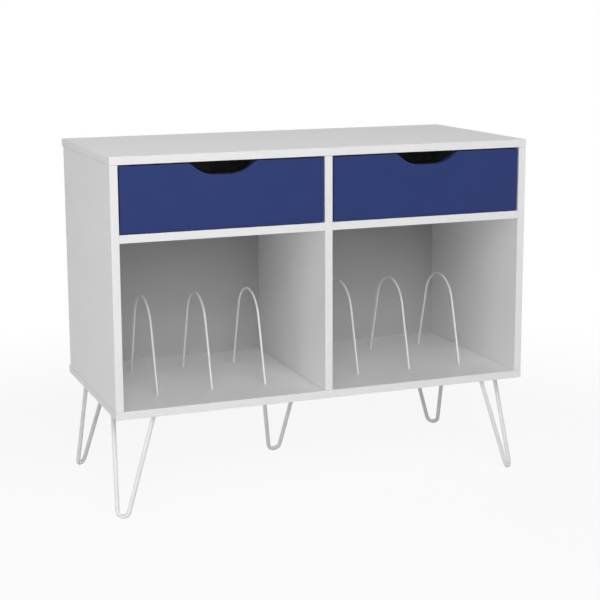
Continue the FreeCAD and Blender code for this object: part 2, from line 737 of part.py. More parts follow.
def make_divider(name, x):
    """A wire arch: a round top, two splayed legs, and upright pegs in the floor."""
    wire = new_body(name, (x, back_from_front("Sizes.side_depth / 2"), BAY_FLOOR))
    bend = number("Sizes.divider_bend")
    arch_middle = number("Sizes.divider_height - Sizes.divider_bend")
    foot = number("Sizes.divider_foot_offset")
    foot_bend = number("Sizes.divider_foot_bend")
    ankle_middle = foot - foot_bend
    splay = arc_to_arc(ankle_middle, -arch_middle, bend - foot_bend, 1)
    arch = arc(0, arch_middle, bend, splay, pi / 2)
    ankle = arc(ankle_middle, 0, foot_bend, 0, splay)
    path = new_sketch(wire, "path", "X")
    path.addGeometry([
        arch,
        Part.LineSegment(arch.StartPoint, ankle.EndPoint),
        ankle,
        line(foot, 0, foot, -number("Sizes.divider_peg")),
    ])
    path.addConstraint(Sketcher.Constraint("PointOnObject", 0, 2, -2))
    pin(path, 0, 3, "0", "Sizes.divider_height - Sizes.divider_bend")
    constrain(path, "Sizes.divider_bend", "Radius", 0)
    path.addConstraint(Sketcher.Constraint("Tangent", 0, 1, 1, 1))
    path.addConstraint(Sketcher.Constraint("Tangent", 1, 2, 2, 2))
    path.addConstraint(Sketcher.Constraint("Tangent", 2, 1, 3, 1))
    path.addConstraint(Sketcher.Constraint("Vertical", 3))
    path.addConstraint(Sketcher.Constraint("PointOnObject", 2, 1, -1))
    constrain(path, "Sizes.divider_foot_bend", "Radius", 2)
    pin(path, 3, 2, "Sizes.divider_foot_offset", "-Sizes.divider_peg")
    section = new_sketch(wire, "section", "Y")
    circles(section, [("0", "Sizes.divider_height")], "Sizes.divider_wire")
    sweep_and_mirror(wire, section, path, "Y")
    subparts.append(wire)


def make_dividers():
    for bay in BAYS:
        for index, place in enumerate(divider_places(bay), start=1):
            make_divider(f"{bay}_bay_record_divider_{index}", f"{BAY_LEFT[bay]} + {place}")


# Hairpin legs

def make_leg(name, foot_x, foot_y, turn):
    """One rod bent to a V with a round foot, leaning inwards, welded to a flat plate."""
    leg = new_body(name, (foot_x, foot_y, "Sizes.rod / 2"), turn)
    length = f"sqrt(Sizes.leg_reach ^ 2 + {LEG_RISE} ^ 2)"
    bend = number("Sizes.leg_bend")
    half_spread = number("Sizes.rod_spread / 2")
    top = number(length)
    foot = arc(0, bend, bend, -pi / 2, arc_to_arc(half_spread, top - bend, bend, -1))
    path = new_sketch(leg, "path", "Y")
    path.AttachmentOffset = Placement(Vector(), Rotation(Vector(-1, 0, 0), 1))
    path.setExpression("AttachmentOffset.Rotation.Angle", f"atan(Sizes.leg_reach / {LEG_RISE})")
    path.addGeometry([foot, Part.LineSegment(foot.EndPoint, Vector(half_spread, top, 0))])
    pin(path, 0, 1, "0", "0")
    pin(path, 0, 3, "0", "Sizes.leg_bend")
    path.addConstraint(Sketcher.Constraint("Tangent", 0, 2, 1, 1))
    pin(path, 1, 2, "Sizes.rod_spread / 2", length)
    section = new_sketch(leg, "section", "X")
    circles(section, [("0", "0")], "Sizes.rod")
    sweep_and_mirror(leg, section, path, "X")
    trim = new_sketch(leg, "trim", "Z", LEG_RISE)
    rectangle(trim, "-Sizes.plate_long", "0", "Sizes.plate_long", "Sizes.plate_long")
    cut(leg, "trim", trim, "Z", "Sizes.rod", 1)
    plate_under = f"{LEG_RISE} - Sizes.plate_thickness"
    outer = "Sizes.leg_reach - Sizes.plate_outer"
    inner = "Sizes.leg_reach + Sizes.plate_inner"
    outline = new_sketch(leg, "plate", "Z", plate_under)
    polygon(outline, [
        ("-Sizes.plate_long / 2", outer),
        ("Sizes.plate_long / 2", outer),
        ("Sizes.plate_short / 2", inner),
        ("-Sizes.plate_short / 2", inner),
    ])
    plate = extrude(leg, "plate", outline, "Z", "Sizes.plate_thickness")
    thickness = number("Sizes.plate_thickness")
    round_edges(leg, plate, "Sizes.plate_corner", lambda edge: is_plate_corner(edge, thickness))
    countersink(leg, "screw_holes", "Z", plate_under, 1, PLATE_HOLES,
                "Sizes.leg_screw", "Sizes.leg_screw_head")
    subparts.append(leg)


def is_plate_corner(edge, thickness):
    """True for the upright straight edges at a plate's corners."""
    if not isinstance(edge.Curve, Part.Line):
        return False
    return abs(abs(edge.tangentAt(0).z) * edge.Length - thickness) < NO_LENGTH


def make_legs():
    for name, (foot_x, foot_y, turn) in LEGS.items():
        make_leg(name, foot_x, foot_y, turn)
    head = "Sizes.leg_height - Sizes.plate_thickness"
    group("leg_screws", leg_screw, [(x, y, head, POINTING["+Z"]) for x, y in leg_screw_places()])


# Drawers

DRAWER_SIDE_WIDTH = f"({BAY_WIDTH} - 2 * Sizes.slide_gap)"
DRAWER_INSIDE = f"({DRAWER_SIDE_WIDTH} - 2 * Sizes.drawer_side)"
SMALL_DOWEL_HEIGHTS = ("Sizes.small_dowel_low", "Sizes.small_dowel_high")
BACK_MIDDLE = "(Sizes.drawer_length - Sizes.drawer_back_inset - Sizes.drawer_side / 2)"


def scoop_outline(sketch, width, height):
    """The front's outline: a rectangle whose top edge dips in a flat-bottomed scoop."""
    right = number(width)
    middle = right / 2
    top = number(height)
    reach = number("Sizes.scoop_width / 2")
    corner = number("Sizes.scoop_corner")
    corner_y = top - corner
    flat = number("Sizes.scoop_flat / 2")
    bend = number("Sizes.scoop_bend")
    floor_y = top - number("Sizes.scoop_depth")
    bend_y = floor_y + bend
    slant = sqrt(0.5)
    sketch.addGeometry([
        line(0, 0, right, 0),
        line(right, 0, right, top),
        line(right, top, middle + reach, top),
        arc(middle + reach, corner_y, corner, pi / 2, pi * 3 / 4),
        line(middle + reach - slant * corner, corner_y + slant * corner,
             middle + flat + slant * bend, bend_y - slant * bend),
        arc(middle + flat, bend_y, bend, -pi / 2, -pi / 4),
        line(middle + flat, floor_y, middle - flat, floor_y),
        arc(middle - flat, bend_y, bend, -pi * 3 / 4, -pi / 2),
        line(middle - flat - slant * bend, bend_y - slant * bend,
             middle - reach + slant * corner, corner_y + slant * corner),
        arc(middle - reach, corner_y, corner, pi / 4, pi / 2),
        line(middle - reach, top, 0, top),
        line(0, top, 0, 0),
    ])
    for first, second in ((0, 1), (1, 2), (10, 11), (11, 0)):
        sketch.addConstraint(Sketcher.Constraint("Coincident", first, 2, second, 1))
    smooth = ((2, 2, 3, 1), (3, 2, 4, 1), (4, 2, 5, 2), (5, 1, 6, 1),
              (6, 2, 7, 2), (7, 1, 8, 1), (8, 2, 9, 1), (9, 2, 10, 1))
    for ends in smooth:
        sketch.addConstraint(Sketcher.Constraint("Tangent", *ends))
    pin(sketch, 0, 1, "0", "0")
    pin(sketch, 1, 1, width, "0")
    pin(sketch, 2, 1, width, height)
    pin(sketch, 11, 1, "0", height)
    pin(sketch, 3, 1, f"{width} / 2 + Sizes.scoop_width / 2", height)
    pin(sketch, 9, 2, f"{width} / 2 - Sizes.scoop_width / 2", height)
    pin(sketch, 6, 1, f"{width} / 2 + Sizes.scoop_flat / 2", f"{height} - Sizes.scoop_depth")
    pin(sketch, 6, 2, f"{width} / 2 - Sizes.scoop_flat / 2", f"{height} - Sizes.scoop_depth")
    for geometry in (3, 9):
        constrain(sketch, "Sizes.scoop_corner", "Radius", geometry)
    for geometry in (5, 7):
        constrain(sketch, "Sizes.scoop_bend", "Radius", geometry)


def make_drawer_front(bay):
    """An inset front with a scooped top edge, a groove for the bottom and dowel holes behind."""
    width = f"({BAY_WIDTH} - 2 * Sizes.front_side_gap)"
    height = "(Sizes.drawer_opening - Sizes.front_top_gap - Sizes.front_bottom_gap)"
    front = new_body(f"{bay}_drawer_front", (
        f"{BAY_LEFT[bay]} + Sizes.front_side_gap",
        back_from_front("Sizes.front_recess"),
        f"{SHELF_TOP} + Sizes.front_bottom_gap",
    ))
    sketch = new_sketch(front, "outline", "Y")
    scoop_outline(sketch, width, height)
    block = extrude(front, "block", sketch, "Y", "Sizes.board")
    round_edges(front, block, "Sizes.edge_radius")
    base = "(Sizes.rail_lift + Sizes.drawer_lift - Sizes.front_bottom_gap)"
    groove = new_sketch(front, "groove", "Y", "Sizes.board")
    inset = "(Sizes.slide_gap + Sizes.drawer_side - Sizes.groove_depth - Sizes.front_side_gap)"
    low = f"{base} + Sizes.drawer_bottom_lift"
    rectangle(groove, f"{inset} - Sizes.groove_play", f"{low} - Sizes.groove_play",
              f"{width} - {inset} + Sizes.groove_play", f"{low} + Sizes.drawer_bottom + Sizes.groove_play")
    cut(front, "groove", groove, "Y", "Sizes.groove_depth + Sizes.groove_play", -1)
    across = "(Sizes.slide_gap + Sizes.drawer_side / 2 - Sizes.front_side_gap)"
    holes = grid([across, f"{width} - {across}"], [f"{base} + {place}" for place in SMALL_DOWEL_HEIGHTS])
    drill(front, "dowel_holes", "Y", "Sizes.board", -1, holes,
          "Sizes.small_dowel", "Sizes.small_dowel_in_front + Sizes.hole_end")
    subparts.append(front)


def make_drawer_side(bay, hand):
    """A side board, grooved inside for the bottom."""
    if hand == "left":
        inner, outer, inwards = "Sizes.drawer_side", "0", 1
        x = f"{BAY_LEFT[bay]} + Sizes.slide_gap"
    else:
        inner, outer, inwards = "0", "Sizes.drawer_side", -1
        x = f"{BAY_LEFT[bay]} + {BAY_WIDTH} - Sizes.slide_gap - Sizes.drawer_side"
    side = board(f"{bay}_drawer_{hand}_side", (x, back_from_front(FRONT_BACK), DRAWER_BASE),
                 ("Sizes.drawer_side", "Sizes.drawer_length", "Sizes.drawer_side_height"))
    groove = new_sketch(side, "groove", "X", inner)
    low = "Sizes.drawer_bottom_lift"
    rectangle(groove, "-Sizes.groove_depth", f"{low} - Sizes.groove_play",
              "Sizes.drawer_length + Sizes.groove_depth", f"{low} + Sizes.drawer_bottom + Sizes.groove_play")
    cut(side, "groove", groove, "X", "Sizes.groove_depth + Sizes.groove_play", -inwards)
    drill(side, "front_dowel_holes", "Y", "0", 1, grid(["Sizes.drawer_side / 2"], SMALL_DOWEL_HEIGHTS),
          "Sizes.small_dowel", "Sizes.small_dowel_length - Sizes.small_dowel_in_front + Sizes.hole_end")
    drill(side, "back_dowel_holes", "X", inner, -inwards, grid([BACK_MIDDLE], SMALL_DOWEL_HEIGHTS),
          "Sizes.small_dowel", "Sizes.small_dowel_in_side + Sizes.hole_end")
    height = "Sizes.rail_height / 2 - Sizes.drawer_lift"
    drill(side, "rail_pilots", "X", outer, inwards, grid(RAIL_SCREWS_ALONG, [height]),
          "Sizes.rail_screw", "Sizes.rail_screw_length - Sizes.steel + Sizes.hole_end")


def make_drawer_back(bay):
    x = f"{BAY_LEFT[bay]} + Sizes.slide_gap + Sizes.drawer_side"
    rise = "(Sizes.drawer_bottom_lift + Sizes.drawer_bottom)"
    y = back_from_front(f"{FRONT_BACK} + {BACK_MIDDLE} - Sizes.drawer_side / 2")
    back = board(f"{bay}_drawer_back", (x, y, f"{DRAWER_BASE} + {rise}"),
                 (DRAWER_INSIDE, "Sizes.drawer_side", f"Sizes.drawer_side_height - {rise}"))
    heights = [f"{place} - {rise}" for place in SMALL_DOWEL_HEIGHTS]
    depth = "Sizes.small_dowel_length - Sizes.small_dowel_in_side + Sizes.hole_end"
    for end, face, towards in (("left", "0", 1), ("right", DRAWER_INSIDE, -1)):
        drill(back, f"{end}_dowel_holes", "X", face, towards, grid(["Sizes.drawer_side / 2"], heights),
              "Sizes.small_dowel", depth)


def make_drawer_bottom(bay):
    """A thin panel in the grooves of the sides and the front, under the back."""
    bottom = new_body(f"{bay}_drawer_bottom", (
        f"{BAY_LEFT[bay]} + Sizes.slide_gap + Sizes.drawer_side - Sizes.groove_depth",
        back_from_front(f"{FRONT_BACK} - Sizes.groove_depth"),
        f"{DRAWER_BASE} + Sizes.drawer_bottom_lift",
    ))
    sketch = new_sketch(bottom, "outline", "Z")
    rectangle(sketch, "0", "0", f"{DRAWER_INSIDE} + 2 * Sizes.groove_depth",
              "Sizes.drawer_length + Sizes.groove_depth")
    extrude(bottom, "sheet", sketch, "Z", "Sizes.drawer_bottom")
    subparts.append(bottom)


def make_drawer_dowels(bay):
    """Two dowels at each corner of the box."""
    left = f"{BAY_LEFT[bay]} + Sizes.slide_gap"
    right = f"{BAY_LEFT[bay]} + {BAY_WIDTH} - Sizes.slide_gap"
    front_start = back_from_front(f"{FRONT_BACK} - Sizes.small_dowel_in_front")
    back_y = back_from_front(f"{FRONT_BACK} + {BACK_MIDDLE}")
    past_side = "(Sizes.drawer_side - Sizes.small_dowel_in_side)"
    places = []
    for height in SMALL_DOWEL_HEIGHTS:
        z = f"{DRAWER_BASE} + {height}"
        places.append((f"{left} + Sizes.drawer_side / 2", front_start, z, POINTING["+Y"]))
        places.append((f"{right} - Sizes.drawer_side / 2", front_start, z, POINTING["+Y"]))
        places.append((f"{left} + {past_side}", back_y, z, POINTING["+X"]))
        places.append((f"{right} - {past_side}", back_y, z, POINTING["-X"]))
    group(f"{bay}_drawer_dowels", drawer_dowel, places)


# Roller slides

def mirrored_x(sign, corners):
    """An outline with its X turned over on the right-hand side."""
    return [(f"{sign} * ({x})", y) for x, y in corners]


def make_cabinet_rail(bay, hand, wall, sign):
    """A C-shaped rail on the wall, notched above the front roller."""
    inwards = 1 if hand == "left" else -1
    rail = new_body(f"{bay}_bay_{hand}_cabinet_rail", (
        wall, back_from_front("Sizes.rail_set_back"), f"{SHELF_TOP} + Sizes.rail_lift"))
    section = new_sketch(rail, "section", "Y")
    polygon(section, mirrored_x(sign, [
        ("0", "0"),
        ("Sizes.rail_flange", "0"),
        ("Sizes.rail_flange", "Sizes.steel"),
        ("Sizes.steel", "Sizes.steel"),
        ("Sizes.steel", "Sizes.rail_height - Sizes.steel"),
        ("Sizes.rail_flange", "Sizes.rail_height - Sizes.steel"),
        ("Sizes.rail_flange", "Sizes.rail_height"),
        ("0", "Sizes.rail_height"),
    ]))
    extrude(rail, "length", section, "Y", "Sizes.rail_length")
    notch = new_sketch(rail, "notch", "Z", "Sizes.rail_height")
    polygon(notch, mirrored_x(sign, [
        ("Sizes.steel", "-Sizes.steel"),
        ("Sizes.rail_flange + Sizes.steel", "-Sizes.steel"),
        ("Sizes.rail_flange + Sizes.steel", "Sizes.flange_notch"),
        ("Sizes.steel", "Sizes.flange_notch"),
    ]))
    cut(rail, "notch", notch, "Z", "2 * Sizes.steel", -1)
    face = f"{sign} * Sizes.steel"
    drill(rail, "pin_hole", "X", face, -inwards, [("Sizes.roller_from_end", FRONT_ROLLER_HEIGHT)],
          "Sizes.pin", "Sizes.steel")
    countersink(rail, "screw_holes", "X", face, -inwards, grid(RAIL_SCREWS_ALONG, ["Sizes.rail_height / 2"]),
                "Sizes.rail_screw", "Sizes.rail_screw_head", RAIL_SCREW_ANGLE)
    subparts.append(rail)


def make_drawer_rail(bay, hand, face_x, sign):
    """A rail under the drawer's side, with an outer flange that runs on the front roller."""
    inwards = 1 if hand == "left" else -1
    rail = new_body(f"{bay}_bay_{hand}_drawer_rail", (face_x, back_from_front(FRONT_BACK), DRAWER_BASE))
    flange_low = f"{RUNNER} - Sizes.drawer_lift"
    flange_high = f"{flange_low} + Sizes.steel"
    section = new_sketch(rail, "section", "Y")
    polygon(section, mirrored_x(sign, [
        ("-Sizes.steel", "-Sizes.steel"),
        ("Sizes.drawer_side", "-Sizes.steel"),
        ("Sizes.drawer_side", "0"),
        ("0", "0"),
        ("0", flange_high),
        ("-Sizes.rail_flange", flange_high),
        ("-Sizes.rail_flange", flange_low),
        ("-Sizes.steel", flange_low),
    ]))
    extrude(rail, "length", section, "Y", "Sizes.rail_length")
    face = f"-{sign} * Sizes.steel"
    pin_hole = ("Sizes.rail_length - Sizes.roller_from_end", f"{REAR_ROLLER_HEIGHT} - Sizes.drawer_lift")
    drill(rail, "pin_hole", "X", face, inwards, [pin_hole], "Sizes.pin", "Sizes.steel")
    screws = grid(RAIL_SCREWS_ALONG, ["Sizes.rail_height / 2 - Sizes.drawer_lift"])
    countersink(rail, "screw_holes", "X", face, inwards, screws,
                "Sizes.rail_screw", "Sizes.rail_screw_head", RAIL_SCREW_ANGLE)
    subparts.append(rail)


def make_roller(name, x, y, z):
    """A nylon wheel with dished sides, its axis across the cabinet."""
    roller = new_body(name, (x, y, z))
    bore = "(Sizes.pin + Sizes.clearance) / 2"
    rim = "Sizes.roller / 2"
    side = "Sizes.roller_width / 2"
    dish = f"{side} - Sizes.roller_dish"
    shoulder = f"{rim} - Sizes.roller_rim"
    right_half = [
        (side, bore),
        (side, "Sizes.roller_hub / 2"),
        (dish, "Sizes.roller_hub / 2"),
        (dish, shoulder),
        (side, shoulder),
        (side, f"{rim} - Sizes.roller_edge"),
        (f"{side} - Sizes.roller_edge", rim),
    ]
    left_half = [(f"-({x_half})", radius) for x_half, radius in reversed(right_half)]
    section = new_sketch(roller, "section", "Y")
    polygon(section, right_half + left_half)
    feature = roller.newObject("PartDesign::Revolution", f"{name}_turned")
    feature.Profile = section
    feature.ReferenceAxis = (section, ["H_Axis"])
    feature.Angle = 360
    doc.recompute()
    subparts.append(roller)


def make_slides(bay):
    """The left and the right slide of one drawer, with their rollers, pins and screws."""
    rail_y = back_from_front("Sizes.rail_set_back")
    front_roller = (f"{rail_y} + Sizes.roller_from_end",
                    f"{SHELF_TOP} + Sizes.rail_lift + {FRONT_ROLLER_HEIGHT}")
    rear_roller = (back_from_front(f"{FRONT_BACK} + Sizes.rail_length - Sizes.roller_from_end"),
                   f"{SHELF_TOP} + Sizes.rail_lift + {REAR_ROLLER_HEIGHT}")
    screw_z = f"{SHELF_TOP} + {RAIL_MIDDLE}"
    offset = "(Sizes.steel + Sizes.roller_side_play + Sizes.roller_width / 2)"
    cabinet_pins = []
    cabinet_screws = []
    drawer_pins = []
    drawer_screws = []
    walls = (
        ("left", "1", BAY_LEFT[bay], POINTING["+X"], POINTING["-X"]),
        ("right", "-1", f"({BAY_LEFT[bay]} + {BAY_WIDTH})", POINTING["-X"], POINTING["+X"]),
    )
    for hand, sign, wall, from_wall, into_wall in walls:
        face_x = f"({wall} + {sign} * Sizes.slide_gap)"
        make_cabinet_rail(bay, hand, wall, sign)
        make_drawer_rail(bay, hand, face_x, sign)
        make_roller(f"{bay}_bay_{hand}_front_roller", f"{wall} + {sign} * {offset}", *front_roller)
        make_roller(f"{bay}_bay_{hand}_rear_roller", f"{face_x} - {sign} * {offset}", *rear_roller)
        cabinet_pins.append((wall, *front_roller, from_wall))
        drawer_pins.append((face_x, *rear_roller, into_wall))
        for place in RAIL_SCREWS_ALONG:
            at_wall = (f"{wall} + {sign} * Sizes.steel", f"{rail_y} + {place}", screw_z)
            at_drawer = (f"{face_x} - {sign} * Sizes.steel", back_from_front(f"{FRONT_BACK} + {place}"), screw_z)
            cabinet_screws.append((*at_wall, into_wall))
            drawer_screws.append((*at_drawer, from_wall))
    group(f"{bay}_drawer_roller_pins", roller_pin, drawer_pins)
    group(f"{bay}_drawer_rail_screws", rail_screw, drawer_screws)
    return cabinet_pins, cabinet_screws


def make_drawers():
    all_pins = []
    all_screws = []
    for bay in BAYS:
        make_drawer_front(bay)
        for hand in ("left", "right"):
            make_drawer_side(bay, hand)
        make_drawer_back(bay)
        make_drawer_bottom(bay)
        make_drawer_dowels(bay)
        pins, screws = make_slides(bay)
        all_pins += pins
        all_screws += screws
    group("cabinet_roller_pins", roller_pin, all_pins)
    group("cabinet_rail_screws", rail_screw, all_screws)


make_bottom_panel()
make_top_panel()
make_uprights()
for bay_name in BAYS:
    make_shelf(bay_name)
make_back_panel()
make_panel_fasteners()
make_dividers()
make_legs()
make_drawers()
doc.recompute()


# Check every object, then write one file for each sub-part

for item in doc.Objects:
    if "Invalid" in item.State or "Error" in item.State:
        raise RuntimeError(f"{item.Label} failed to compute: {item.State}")
os.makedirs("parts", exist_ok=True)
for piece in subparts:
    if piece.Shape.isNull() or not piece.Shape.isValid():
        raise RuntimeError(f"{piece.Label} has no valid shape")
for piece in subparts:
    piece.Shape.exportStep(f"parts/{piece.Label}.step")
print(len(subparts), "sub-parts written")
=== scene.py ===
"""Looks of the turntable stand: finishes, fittings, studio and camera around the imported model.

Metres. +Z is up, the front faces -Y, and the origin is on the floor under the middle.
"""
import json
from math import acos, atan2, cos, hypot, pi, radians, sin, tan

import bmesh
import bpy
from mathutils import Matrix, Vector


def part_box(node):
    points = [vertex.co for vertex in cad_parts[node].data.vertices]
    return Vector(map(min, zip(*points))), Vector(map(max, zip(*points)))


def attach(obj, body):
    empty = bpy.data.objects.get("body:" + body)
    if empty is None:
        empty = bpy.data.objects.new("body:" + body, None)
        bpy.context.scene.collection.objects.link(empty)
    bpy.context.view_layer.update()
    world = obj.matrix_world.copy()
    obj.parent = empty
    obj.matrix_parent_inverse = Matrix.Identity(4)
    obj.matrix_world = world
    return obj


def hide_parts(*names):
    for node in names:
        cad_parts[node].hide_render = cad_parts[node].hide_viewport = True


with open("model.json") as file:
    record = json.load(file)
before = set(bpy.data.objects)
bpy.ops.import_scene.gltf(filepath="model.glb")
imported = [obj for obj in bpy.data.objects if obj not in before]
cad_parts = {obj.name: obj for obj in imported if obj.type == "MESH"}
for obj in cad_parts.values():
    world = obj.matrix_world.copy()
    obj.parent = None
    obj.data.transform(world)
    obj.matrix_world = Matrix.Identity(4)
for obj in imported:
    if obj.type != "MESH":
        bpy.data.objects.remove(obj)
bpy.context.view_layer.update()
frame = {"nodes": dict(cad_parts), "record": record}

MM = 0.001
NODES = frame["nodes"]

TOP_LOW, TOP_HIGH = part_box("top_panel")
BAY_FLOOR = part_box("bottom_panel")[1].z


# Colours and nodes

def linear(colour):
    """An sRGB hex colour as the linear red, green, blue and alpha that a shader takes."""
    channels = [int(colour[place:place + 2], 16) / 255 for place in (1, 3, 5)]
    decoded = [c / 12.92 if c <= 0.04045 else ((c + 0.055) / 1.055) ** 2.4 for c in channels]
    return (*decoded, 1.0)


def add_node(tree, kind, inputs=(), **settings):
    """Add a node with its settings. An input is a value, a socket, or a node whose output is linked."""
    node = tree.nodes.new(kind)
    for name, value in settings.items():
        setattr(node, name, value)
    for key, value in dict(inputs).items():
        if isinstance(value, bpy.types.Node):
            value = next(output for output in value.outputs if output.enabled)
        if isinstance(value, bpy.types.NodeSocket):
            tree.links.new(value, node.inputs[key])
        else:
            node.inputs[key].default_value = value
    return node


def start_material(name):
    """A new, empty material: the material, its node tree and the Object coordinates, in metres."""
    material = bpy.data.materials.new(name)
    material.use_nodes = True
    material.node_tree.nodes.clear()
    place = add_node(material.node_tree, "ShaderNodeTexCoord").outputs["Object"]
    return material, material.node_tree, place


def close_material(material, colour, inputs):
    """Give a material its surface, and the plain colour that it has where no shader is shown."""
    surface = add_node(material.node_tree, "ShaderNodeBsdfPrincipled", inputs)
    add_node(material.node_tree, "ShaderNodeOutputMaterial", {"Surface": surface})
    material.diffuse_color = linear(colour)
    return material


# Finishes

BAND = 0.8 * MM
HALF_JOINT = 0.09 * MM
# half the width of the painted shade line in the joints between the uprights and the top and bottom panels
HALF_JOINT_SHADE = 0.5 * MM
MARGIN = 0.1 * MM  # so that a face on a board's own limit counts as the board's
THREAD_PITCH = 1.0 * MM
WAVE_BAND = 2 * pi / 20  # the band of a wave texture of scale 1, in its own units


def melamine_board(name, band_at_ends):
    """White melamine foil pressed on chipboard: satin, with a fine pearl in its highlights and hairline
    joints where the edge band meets the faces. Where the uprights meet the top and bottom panels, a grey
    line of painted shade stands for the shadow in the 0.2 mm joint; that is too fine to show, so it is drawn
    1 mm wide."""
    material, tree, place = start_material(name)
    cloud = add_node(tree, "ShaderNodeTexNoise", {"Vector": place, "Scale": 1 / (90 * MM)})
    foil = add_node(tree, "ShaderNodeMix", {0: cloud, 6: linear("#E7E7E8"), 7: linear("#EAEAEA")},
                    data_type="RGBA")
    axes = add_node(tree, "ShaderNodeSeparateXYZ", {"Vector": place}).outputs
    side = add_node(tree, "ShaderNodeMath", {0: axes["X"]}, operation="ABSOLUTE")
    seams = [(axes["Y"], TOP_LOW.y + BAND)]
    if band_at_ends:
        seams += [(side, TOP_HIGH.x - BAND), (axes["Y"], TOP_HIGH.y - BAND)]
    joint = 0.0
    for distance, seam in seams:
        at_seam = add_node(tree, "ShaderNodeMath", {0: distance, 1: seam, 2: HALF_JOINT},
                           operation="COMPARE")
        joint = add_node(tree, "ShaderNodeMath", {0: joint, 1: at_seam}, operation="MAXIMUM")
    edged = add_node(tree, "ShaderNodeMix", {0: joint, 6: foil, 7: linear("#A9A8A6")}, data_type="RGBA")
    normal = add_node(tree, "ShaderNodeNewGeometry").outputs["Normal"]
    rise = add_node(tree, "ShaderNodeSeparateXYZ", {"Vector": normal}).outputs["Z"]
    # painted shade: a grey line on upright faces where the uprights meet the top and bottom panels, for the
    # shadow in those joints
    joint_shade = add_node(tree, "ShaderNodeMath", {0: rise, 1: 0.0, 2: 0.5}, operation="COMPARE")
    at_end = 0.0
    for level in (TOP_LOW.z, BAY_FLOOR):
        at_level = add_node(tree, "ShaderNodeMath", {0: axes["Z"], 1: level, 2: HALF_JOINT_SHADE},
                            operation="COMPARE")
        at_end = add_node(tree, "ShaderNodeMath", {0: at_end, 1: at_level}, operation="MAXIMUM")
    at_upright = 0.0
    for low, high in (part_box("right_side_panel"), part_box("centre_divider")):
        on_board = add_node(tree, "ShaderNodeMath", {
            0: side, 1: (low.x + high.x) / 2, 2: (high.x - low.x) / 2 + MARGIN}, operation="COMPARE")
        at_upright = add_node(tree, "ShaderNodeMath", {0: at_upright, 1: on_board}, operation="MAXIMUM")
    for limit in (at_end, at_upright):
        joint_shade = add_node(tree, "ShaderNodeMath", {0: joint_shade, 1: limit}, operation="MULTIPLY")
    # the colour of that painted shade in the joints
    tint = add_node(tree, "ShaderNodeMix", {0: joint_shade, 6: edged, 7: linear("#7C7B79")}, data_type="RGBA")
    patches = add_node(tree, "ShaderNodeTexNoise", {"Vector": place, "Scale": 1 / (25 * MM)})
    gloss = add_node(tree, "ShaderNodeMapRange", {"Value": patches, "To Min": 0.30, "To Max": 0.38})
    pearl = add_node(tree, "ShaderNodeTexNoise", {"Vector": place, "Scale": 1 / (0.9 * MM), "Detail": 3.0})
    fine = add_node(tree, "ShaderNodeBump", {"Height": pearl, "Distance": 0.012 * MM})
    swell = add_node(tree, "ShaderNodeTexNoise", {"Vector": place, "Scale": 1 / (45 * MM)})
    broad = add_node(tree, "ShaderNodeBump", {"Height": swell, "Distance": 0.03 * MM, "Normal": fine})
    return close_material(material, "#E9E9EA", {
        "Base Color": tint, "Roughness": gloss, "Normal": broad, "IOR": 1.5})


def painted_hardboard(name):
    """Hardboard, painted on the face inside the bays a flat pale grey, darker than the white boards: partly
    the paint's own tone, partly painted shade for the deep bays.
    Behind it is bare, so its brown felted fibres show. They are drawn 2 mm across, because the real ones are
    too fine to show."""
    material, tree, place = start_material(name)
    stretched = add_node(tree, "ShaderNodeMapping", {"Vector": place, "Scale": (1.0, 1.0, 3.0)})
    fibres = add_node(tree, "ShaderNodeTexNoise", {
        "Vector": stretched, "Scale": 1 / (2.2 * MM), "Detail": 6.0, "Roughness": 0.7})
    blotches = add_node(tree, "ShaderNodeTexNoise", {"Vector": place, "Scale": 1 / (60 * MM), "Detail": 4.0})
    felted = add_node(tree, "ShaderNodeMapRange", {"Value": fibres, "From Min": 0.35, "From Max": 0.65})
    board = add_node(tree, "ShaderNodeMix", {0: felted, 6: linear("#6E5138"), 7: linear("#B08A64")},
                     data_type="RGBA")
    stain = add_node(tree, "ShaderNodeMapRange", {"Value": blotches, "To Max": 0.4})
    bare = add_node(tree, "ShaderNodeMix", {0: stain, 6: board, 7: linear("#8C6B4C")}, data_type="RGBA")
    # painted shade in part: the face inside the bays is a grey darker than the white boards, standing for the
    # shade deep in the bays
    paint_and_shade = add_node(tree, "ShaderNodeMix", {0: blotches, 6: linear("#B3B3B4"), 7: linear("#B9B9B9")},
                     data_type="RGBA")
    normal = add_node(tree, "ShaderNodeNewGeometry").outputs["Normal"]
    facing = add_node(tree, "ShaderNodeSeparateXYZ", {"Vector": normal}).outputs["Y"]
    behind = add_node(tree, "ShaderNodeMath", {0: facing, 1: 0.5}, operation="GREATER_THAN")
    tint = add_node(tree, "ShaderNodeMix", {0: behind, 6: paint_and_shade, 7: bare}, data_type="RGBA")
    gloss = add_node(tree, "ShaderNodeMapRange", {"Value": behind, "To Min": 0.45, "To Max": 0.75})
    relief = add_node(tree, "ShaderNodeBump", {"Height": fibres, "Distance": 0.03 * MM})
    return close_material(material, "#B6B6B7", {
        "Base Color": tint, "Roughness": gloss, "Normal": relief, "IOR": 1.5})


